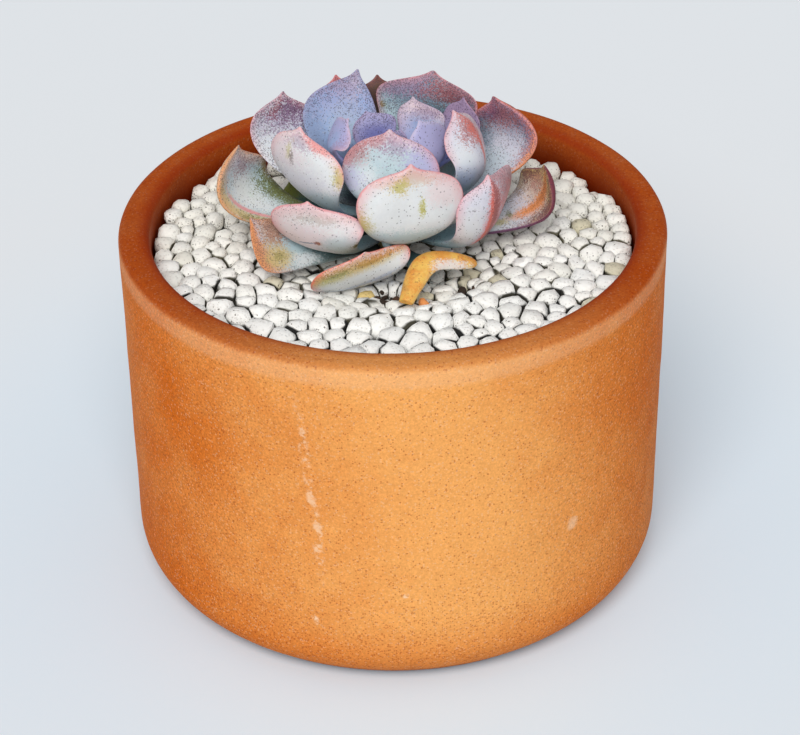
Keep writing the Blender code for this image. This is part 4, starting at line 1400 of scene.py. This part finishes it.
def scattered(name, centres, values, shapes, uneven, seed, material):
    """A mesh object of shapes at the centres, made by the scatter nodes.

    The values by name, such as each centre's radius, go over to the shapes' points.
    """
    mesh = bpy.data.meshes.new(name)
    mesh.from_pydata([tuple(c) for c in centres], [], [])
    for label, given in values.items():
        keep_values(mesh, label, given)
    obj = in_scene(name, mesh)
    tree = scatter_tree(name + "_scatter")
    inputs = {"Shapes": shapes, "Uneven": uneven, "Seed": seed, "Material": material}
    modifier = obj.modifiers.new("scatter", "NODES")
    modifier.node_group = tree
    for item in tree.interface.items_tree:
        if item.in_out == "INPUT" and item.name in inputs:
            modifier[item.identifier] = inputs[item.name]
    made_plain(obj)
    obj.data.shade_smooth()
    obj.data.set_sharp_from_angle(angle=math.radians(38))
    return obj


def press_together(obj, at, radii, s):
    """Flattens the stones where they meet, leaves a thin gap there, and marks it as touch.

    A point's touch is its distance from the nearest other stone's centre, in that stone's radii.
    """
    mesh, rng = obj.data, np.random.default_rng(s.seed + 3)
    coordinates = np.empty(3 * len(mesh.vertices), np.float32)
    mesh.vertices.foreach_get("co", coordinates)
    points = coordinates.reshape(-1, 3).astype(float)
    owner = values_of(mesh, "stone")
    touch = np.empty(len(points), np.float32)
    for index, (centre, radius) in enumerate(zip(at, radii)):
        mine = np.flatnonzero(owner == index)
        here = points[mine] - centre
        apart = at - centre
        away = np.linalg.norm(apart, axis=1)
        near = np.flatnonzero((away > 0) & (away < 1.4 * (radii + radius)))
        for other in near:
            flat = apart[other] / away[other]
            reach = away[other] * radius / (radius + radii[other]) - s.gap / 2
            here -= np.clip(here @ flat - max(reach, 0.3 * radius), 0, None)[:, None] * flat
        worn_top = np.array((*rng.uniform(-0.3, 0.3, 2), 1.0))
        worn_top /= np.linalg.norm(worn_top)
        above = np.clip(here @ worn_top - rng.uniform(0.85, 0.98) * radius, 0, None)
        here -= above[:, None] * worn_top
        to_others = np.linalg.norm(here[:, None] - apart[None, near], axis=2)
        touch[mine] = (to_others / radii[near]).min(axis=1)
        points[mine] = here + centre
    out = np.linalg.norm(points[:, :2], axis=1)
    points[:, :2] *= np.minimum(1, (FILL_RADIUS - 0.1 * MM) / out)[:, None]
    points[:, 2] = np.minimum(points[:, 2], dressing_level(points[:, 0], points[:, 1], s))
    mesh.vertices.foreach_set("co", points.astype(np.float32).ravel())
    keep_values(mesh, "touch", touch)
    mesh.update()


def drop_library(shapes):
    for obj in list(shapes.objects):
        bpy.data.objects.remove(obj, do_unlink=True)
    bpy.data.collections.remove(shapes)


def build_pumice(s):
    at, radii = settled_stones(s)
    rng = np.random.default_rng(s.seed + 1)
    tone = rng.uniform(0.0, 1.0, len(at))
    # Of the stones near the stained one's place, the top one.
    x, y = (value * MM for value in YELLOW_STONE)
    tone[np.argmin(np.hypot(at[:, 0] - x, at[:, 1] - y) - at[:, 2])] = OWN_COLOUR
    level = dressing_level(at[:, 0], at[:, 1], s)
    shapes = shape_library("pebble_shape", PEBBLE_SHAPES, s.seed * 10)
    worn = np.clip(1.15 - 1.5 * frontness(at) + rng.normal(0, 0.22, len(at)), 0, 1)
    values = {
        "radius": radii, "centre": at[:, 2], "tone": tone, "level": level, "worn": worn,
        "stone": np.arange(len(at)),
    }
    obj = scattered("pumice_stones", at, values, shapes, 0.12, s.seed, pumice_material(s))
    drop_library(shapes)
    press_together(obj, at, radii, s)
    return settle(obj, "pumice")


def build_crumbs(s):
    """Crumbs of soil where it shows between the stones and by the stem, and one rusty one."""
    rng = np.random.default_rng(s.seed + 5)
    places, radii = [], []
    for x, y, reach in (*SOIL_PATCHES, (STEM_CENTRE.x / MM, STEM_CENTRE.y / MM, 5.0)):
        for _ in range(s.crumbs):
            turn, far = rng.uniform(0, math.tau), reach * 1.25 * math.sqrt(rng.uniform(0, 1))
            at = Vector((x + far * math.cos(turn), y + far * math.sin(turn))) * MM
            depth = rng.uniform(0.8, 3.4) * MM
            places.append((at.x, at.y, dressing_level(at.x, at.y, s) - depth))
            radii.append(rng.uniform(0.35, 0.85) * MM)
    x, y = (value * MM for value in RUSTY_CRUMB)
    places.append((x, y, dressing_level(x, y, s) - 0.5 * MM))
    radii.append(1.3 * MM)
    tone = rng.uniform(0.0, 1.0, len(places))
    tone[-1] = OWN_COLOUR
    shapes = shape_library("crumb_shape", CRUMB_SHAPES, s.seed * 7)
    values = {"radius": radii, "tone": tone}
    obj = scattered("soil_crumbs", places, values, shapes, 0.45, s.seed + 2, crumb_material(s))
    drop_library(shapes)
    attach(obj, "root")
    return obj


def soil_outline():
    """Radius and height of rings from the middle of the stem's hole over the top to below."""
    top, low = SOIL_BOX[1].z, SOIL_BOX[0].z
    bottom = STEM_BOX[0].z - 0.3 * MM
    rings = [(0.5 * MM, bottom), (HOLE_RADIUS, bottom), (HOLE_RADIUS, top - 2 * MM)]
    width = FILL_RADIUS - HOLE_RADIUS
    rings += [(HOLE_RADIUS + width * i / TOP_RINGS, top) for i in range(TOP_RINGS)]
    rings += [(FILL_RADIUS, top - 0.5 * MM), (FILL_RADIUS, low + 3 * MM)]
    rings += [(FILL_RADIUS - 0.9 * MM, low + 0.9 * MM), (FILL_RADIUS - 3 * MM, low)]
    rings += [(FILL_RADIUS * share, low) for share in (0.6, 0.3, 0.1)]
    return rings


def soil_point(radius, height, turn):
    """A point of the soil, which has its hole where the stem is, and a lumpy top."""
    shift = STEM_CENTRE.y * max(0.0, 1 - radius / FILL_RADIUS)
    x, y = radius * math.cos(turn), radius * math.sin(turn) + shift
    if height == SOIL_BOX[1].z:
        lump = noise.fractal(Vector((x, y, 0)) * 320, 0.8, 2.0, 4)
        height = min(height, height - 0.6 * MM + 0.9 * MM * lump)
    return x, y, height


def build_soil(s):
    bm = bmesh.new()
    ring_skin(bm, rings_of(bm, soil_outline(), SOIL_STEPS, soil_point))
    obj = object_from(bm, "soil_fill", soil_material(s))
    return settle(obj, "soil")


def stem_outline(s):
    """Radius and height of rings from the root's tip to the stem's."""
    shares = [(share, STEM_BOX[0].z + above * MM) for share, above in ROOT_OUTLINE]
    shares += [(1.0, height * MM) for height in STEM_HEIGHTS]
    shares += [(share, height * MM) for share, height in NECK_OUTLINE]
    shares += [(0.22, STEM_BOX[1].z)]
    return [(share * s.stem_radius, height) for share, height in shares]


def stem_point(radius, height, turn):
    """A point of the stem's skin, which is uneven with leaf scars."""
    scar = noise.noise(Vector((math.cos(turn) * 2, math.sin(turn) * 2, height * 900)))
    reach = radius * (0.96 + 0.04 * scar)
    return reach * math.cos(turn), STEM_CENTRE.y + reach * math.sin(turn), height


def build_stem(s):
    """The stem, and its root down in the soil."""
    bm = bmesh.new()
    ring_skin(bm, rings_of(bm, stem_outline(s), STEM_STEPS, stem_point))
    obj = object_from(bm, "stem_skin", stem_material(s))
    return settle(obj, "stem")


def stem_radius_at(height, s):
    """Radius of the stem where a leaf joins it."""
    below = (STEM_BOX[1].z - height) / MM
    for (high, thin), (low, thick) in zip(STEM_TAPER, STEM_TAPER[1:]):
        if below <= low:
            share = max(0.0, below - high) / (low - high)
            return s.stem_radius * (thin + (thick - thin) * share)
    return s.stem_radius


def heading(azimuth, rise):
    """Direction of a level angle and a rise above the level, in degrees."""
    a, e = math.radians(azimuth), math.radians(rise)
    return Vector((math.cos(a) * math.cos(e), math.sin(a) * math.cos(e), math.sin(e)))


def midrib_points(leaf, s):
    """Points of the midrib: a cubic from the stem to the tip."""
    height = leaf.height * MM
    reach = stem_radius_at(height - 0.6 * MM, s) + 0.3 * MM
    start = Vector((STEM_CENTRE.x, STEM_CENTRE.y, height)) + heading(leaf.azimuth, 0.0) * reach
    tip = Vector(leaf.tip) * MM
    near = start + heading(leaf.azimuth, leaf.rise0) * leaf.out * MM
    far = tip - heading(leaf.azimuth + leaf.turn, leaf.rise1) * leaf.up * MM
    points = []
    for i in range(MIDRIB_POINTS):
        t = i / (MIDRIB_POINTS - 1)
        r = 1 - t
        points.append(start * r**3 + near * (3 * r * r * t) + far * (3 * r * t * t) + tip * t**3)
    return points


def frames_along(points):
    """Tangent, side and upper-face normal at each point, carried along without twist."""
    tangents = []
    for i in range(len(points)):
        before, after = points[max(i - 1, 0)], points[min(i + 1, len(points) - 1)]
        tangents.append((after - before).normalized())
    up = Vector((0, 0, 1))
    normal = (up - tangents[0] * up.dot(tangents[0])).normalized()
    frames = []
    for tangent in tangents:
        normal = (normal - tangent * normal.dot(tangent)).normalized()
        frames.append((tangent, tangent.cross(normal), normal))
    return frames


def section(half, thick, cup, drop=0.0, left=0.5, swell=0.0, keeled=False):
    """Points (side, normal, across, face) round a leaf: edge, inner face, edge, outer face."""
    lo, hi = -2 * half * left, 2 * half * (1 - left)
    outer = 0.50 + swell
    rim = cup * half
    mid = 0.30 * rim
    if not keeled:
        return (
            (lo, rim, -1.0, 0.0),
            (0.50 * lo, mid + 0.38 * thick, -0.5, 1.0),
            (0.50 * hi, mid + 0.38 * thick, 0.5, 1.0),
            (hi, rim, 1.0, 0.0),
            (outer * hi, mid - 0.62 * thick, 0.5, -1.0),
            (outer * lo, mid - 0.62 * thick, -0.5, -1.0),
        )
    return (
        (lo, rim, -1.0, 0.0),
        (0.55 * lo, mid + 0.42 * thick, -0.55, 1.0),
        (0.0, 0.34 * thick - 0.5 * drop, 0.0, 1.0),
        (0.55 * hi, mid + 0.42 * thick, 0.55, 1.0),
        (hi, rim, 1.0, 0.0),
        (outer * hi, mid - 0.50 * thick, 0.55, -1.0),
        (0.0, -0.66 * thick - drop, 0.0, -1.0),
        (outer * lo, mid - 0.50 * thick, -0.55, -1.0),
    )


def leaf_rings(leaf, s):
    """Rings of (point, along, across, face) from the leaf's base to its tip."""
    points = midrib_points(leaf, s)
    frames = frames_along(points)
    shoulder = max(1.0, leaf.blunt) ** 2
    fullness = (1.0, leaf.neck, leaf.neck, 1.0, leaf.blunt, shoulder, 1.0)
    rings = []
    for share, width, full, thick in zip(STATIONS, HALF_WIDTHS, fullness, THICKNESSES):
        at = round(share * (MIDRIB_POINTS - 1))
        tangent, side, normal = frames[at]
        roll = Matrix.Rotation(math.radians(leaf.roll) * share, 3, tangent)
        side, normal = roll @ side, roll @ normal
        half = width * full * leaf.width / 2 * MM
        deep = thick * leaf.thick * MM
        drop = leaf.keel * share * deep
        ring = section(half, deep, leaf.cup * share, drop, leaf.left, leaf.swell, leaf.keel > 0)
        rings.append([(points[at] + side * x + normal * y, share, a, f) for x, y, a, f in ring])
    return rings


def withered_rings():
    """Rings like those of leaf_rings, round the path of the withered leaf."""
    points = [Vector(p) * MM for p in WITHERED_PATH]
    rings = []
    for i, (_, side, normal) in enumerate(frames_along(points)):
        ring = section(WITHERED_HALF_WIDTHS[i] * MM, WITHERED_THICK * MM, WITHERED_CUP)
        share = i / (len(points) - 1)
        rings.append([(points[i] + side * x + normal * y, share, a, f) for x, y, a, f in ring])
    return rings


def leaf_cage(name, rings, material):
    """Coarse cage over the rings, with where each point lies on the leaf kept as attributes."""
    bm = bmesh.new()
    crease = bm.edges.layers.float.new("crease_edge")
    layers = [bm.verts.layers.float.new(label) for label in ("along", "across", "face")]
    rows = []
    for ring in rings:
        row = []
        for point, *values in ring:
            vert = bm.verts.new(point)
            for layer, value in zip(layers, values):
                vert[layer] = value
            row.append(vert)
        rows.append(row)
    ring_skin(bm, rows)
    for i, vert in enumerate(rows[0]):
        bm.edges.get((vert, rows[0][(i + 1) % len(rows[0])]))[crease] = 1.0
    return object_from(bm, name, material)


def measure_rim(mesh):
    """Keeps each point's distance to the leaf's edge, in mm, as an attribute."""
    across = np.abs(values_of(mesh, "across"))
    edge = [vert.co for vert, share in zip(mesh.vertices, across) if share > EDGE_SHARE]
    tree = KDTree(len(edge))
    for i, point in enumerate(edge):
        tree.insert(point, i)
    tree.balance()
    keep_values(mesh, "rim", [tree.find(vert.co)[2] / MM for vert in mesh.vertices])


def soften_surface(mesh, depth, seed):
    """Soft dents and swellings, as fleshy leaves have."""
    shift = Vector((seed, seed * 0.7, 0))
    moved = []
    for vert in mesh.vertices:
        swell = noise.noise(vert.co * 210 + shift) + 0.5 * noise.noise(vert.co * 480 + shift)
        moved.append(vert.co + vert.normal * depth * swell)
    for vert, place in zip(mesh.vertices, moved):
        vert.co = place


def finish_leaf(obj, s, seed):
    smooth = obj.modifiers.new("smooth", "SUBSURF")
    smooth.levels = s.levels
    smooth.render_levels = s.levels
    made_plain(obj)
    measure_rim(obj.data)
    soften_surface(obj.data, s.dent, seed)
    obj.data.shade_smooth()
    return obj


def build_leaves(s):
    for index, (node, leaf) in enumerate(LEAVES.items()):
        seed = LEAF_SEED_STEP * (index + 1)
        material = leaf_material("skin_of_" + node, LOOKS[node], s, seed)
        obj = leaf_cage("fleshy_" + node, leaf_rings(leaf, s), material)
        finish_leaf(obj, s, seed)
        settle(obj, node)


def build_withered_leaf(s):
    obj = leaf_cage("dry_leaf_withered", withered_rings(), withered_material(s))
    finish_leaf(obj, s, 1.0)
    return settle(obj, "leaf_withered")


def build_floor(s):
    bm = bmesh.new()
    bmesh.ops.create_grid(bm, x_segments=8, y_segments=8, size=s.floor_size / 2)
    floor = object_from(bm, "floor", floor_material(s))
    if floor.data.polygons[0].normal.z < 0:
        floor.data.flip_normals()


def light_room(s):
    world = bpy.data.worlds.new("pale_room")
    world.use_nodes = True
    background = world.node_tree.nodes["Background"].inputs
    background["Color"].default_value = (*s.sky, 1.0)
    background["Strength"].default_value = s.sky_strength
    bpy.context.scene.world = world


def light_from_camera_side(s):
    """One broad, even light like a large window behind the camera."""
    lamp = bpy.data.lights.new("key_light", "SUN")
    lamp.energy = s.key_strength
    lamp.angle = s.key_spread
    lamp.color = (1.0, 0.985, 0.96)
    tilt = Matrix.Rotation(math.pi / 2 - s.key_height, 4, "X")
    in_scene("key_light", lamp).matrix_world = Matrix.Rotation(-s.key_side, 4, "Z") @ tilt


def place_camera(s):
    view = bpy.data.cameras.new("camera")
    view.lens = s.lens
    view.sensor_width = 36.0
    view.clip_start = 0.01
    turn = Matrix.Rotation(-s.look_aside, 3, "Z")
    tilt = Matrix.Rotation(math.pi / 2 - s.look_down, 3, "X")
    roll = Matrix.Rotation(-s.camera_roll, 3, "Z")
    place = Matrix.Translation((0, -s.camera_distance, s.camera_height))
    camera = in_scene("camera", view)
    camera.matrix_world = place @ (turn @ tilt @ roll).to_4x4()
    bpy.context.scene.camera = camera


def set_stage(s):
    build_floor(s)
    light_room(s)
    light_from_camera_side(s)
    place_camera(s)
    bpy.context.scene.view_settings.view_transform = "Standard"
    bpy.context.scene.view_settings.look = "None"


class ECHEVERIA_OT_pot(bpy.types.Operator):
    """Build the clay pot with its lip, rounded foot and drain hole"""

    bl_idname = "echeveria.pot"
    bl_label = "Clay Pot"

    def execute(self, context):
        build_pot(context.scene.echeveria_pot)
        return {"FINISHED"}


class ECHEVERIA_OT_soil(bpy.types.Operator):
    """Build the potting soil under the stones"""

    bl_idname = "echeveria.soil"
    bl_label = "Potting Soil"

    def execute(self, context):
        build_soil(context.scene.echeveria_dressing)
        build_crumbs(context.scene.echeveria_dressing)
        return {"FINISHED"}


class ECHEVERIA_OT_pumice(bpy.types.Operator):
    """Scatter and settle the pumice stones"""

    bl_idname = "echeveria.pumice"
    bl_label = "Pumice Stones"

    def execute(self, context):
        build_pumice(context.scene.echeveria_dressing)
        return {"FINISHED"}


class ECHEVERIA_OT_stem(bpy.types.Operator):
    """Build the stem that carries the rosette"""

    bl_idname = "echeveria.stem"
    bl_label = "Stem"

    def execute(self, context):
        build_stem(context.scene.echeveria_rosette)
        return {"FINISHED"}


class ECHEVERIA_OT_leaves(bpy.types.Operator):
    """Build the rosette's cupped leaves with their waxy skins"""

    bl_idname = "echeveria.leaves"
    bl_label = "Rosette Leaves"

    def execute(self, context):
        build_leaves(context.scene.echeveria_rosette)
        return {"FINISHED"}


class ECHEVERIA_OT_withered_leaf(bpy.types.Operator):
    """Build the fallen, withered leaf on the stones"""

    bl_idname = "echeveria.withered_leaf"
    bl_label = "Withered Leaf"

    def execute(self, context):
        build_withered_leaf(context.scene.echeveria_rosette)
        return {"FINISHED"}


class ECHEVERIA_OT_stage(bpy.types.Operator):
    """Set up the pale floor, the room's light, the main light and the camera"""

    bl_idname = "echeveria.stage"
    bl_label = "Stage"

    def execute(self, context):
        set_stage(context.scene.echeveria_stage)
        return {"FINISHED"}


class ECHEVERIA_PT_panel(bpy.types.Panel):
    """Lists the pieces of the potted echeveria"""

    bl_label = "Potted Echeveria"
    bl_idname = "ECHEVERIA_PT_panel"
    bl_space_type = "VIEW_3D"
    bl_region_type = "UI"
    bl_category = "Echeveria"

    def draw(self, context):
        for settings, operators in PANEL_ROWS:
            box = self.layout.box()
            for operator in operators:
                box.operator(operator.bl_idname)
            group = getattr(context.scene, settings)
            for name in group.bl_rna.properties.keys():
                if name not in ("rna_type", "name"):
                    box.prop(group, name)


OPERATORS = (
    ECHEVERIA_OT_pot,
    ECHEVERIA_OT_soil,
    ECHEVERIA_OT_pumice,
    ECHEVERIA_OT_stem,
    ECHEVERIA_OT_leaves,
    ECHEVERIA_OT_withered_leaf,
    ECHEVERIA_OT_stage,
)
PANEL_ROWS = (
    ("echeveria_pot", OPERATORS[0:1]),
    ("echeveria_dressing", OPERATORS[1:3]),
    ("echeveria_rosette", OPERATORS[3:6]),
    ("echeveria_stage", OPERATORS[6:7]),
)
SETTINGS = {
    "echeveria_pot": PotSettings,
    "echeveria_dressing": DressingSettings,
    "echeveria_rosette": RosetteSettings,
    "echeveria_stage": StageSettings,
}


def register():
    for cls in (*SETTINGS.values(), *OPERATORS, ECHEVERIA_PT_panel):
        bpy.utils.register_class(cls)
    for name, group in SETTINGS.items():
        setattr(bpy.types.Scene, name, PointerProperty(type=group))


def unregister():
    for name in SETTINGS:
        delattr(bpy.types.Scene, name)
    for cls in reversed((*SETTINGS.values(), *OPERATORS, ECHEVERIA_PT_panel)):
        bpy.utils.unregister_class(cls)


def main():
    for obj in list(bpy.data.objects):
        if obj.name in ("Cube", "Light", "Camera"):
            bpy.data.objects.remove(obj, do_unlink=True)
    register()
    for operator in OPERATORS:
        group, name = operator.bl_idname.split(".")
        getattr(getattr(bpy.ops, group), name)()


if __name__ == "__main__":
    main()
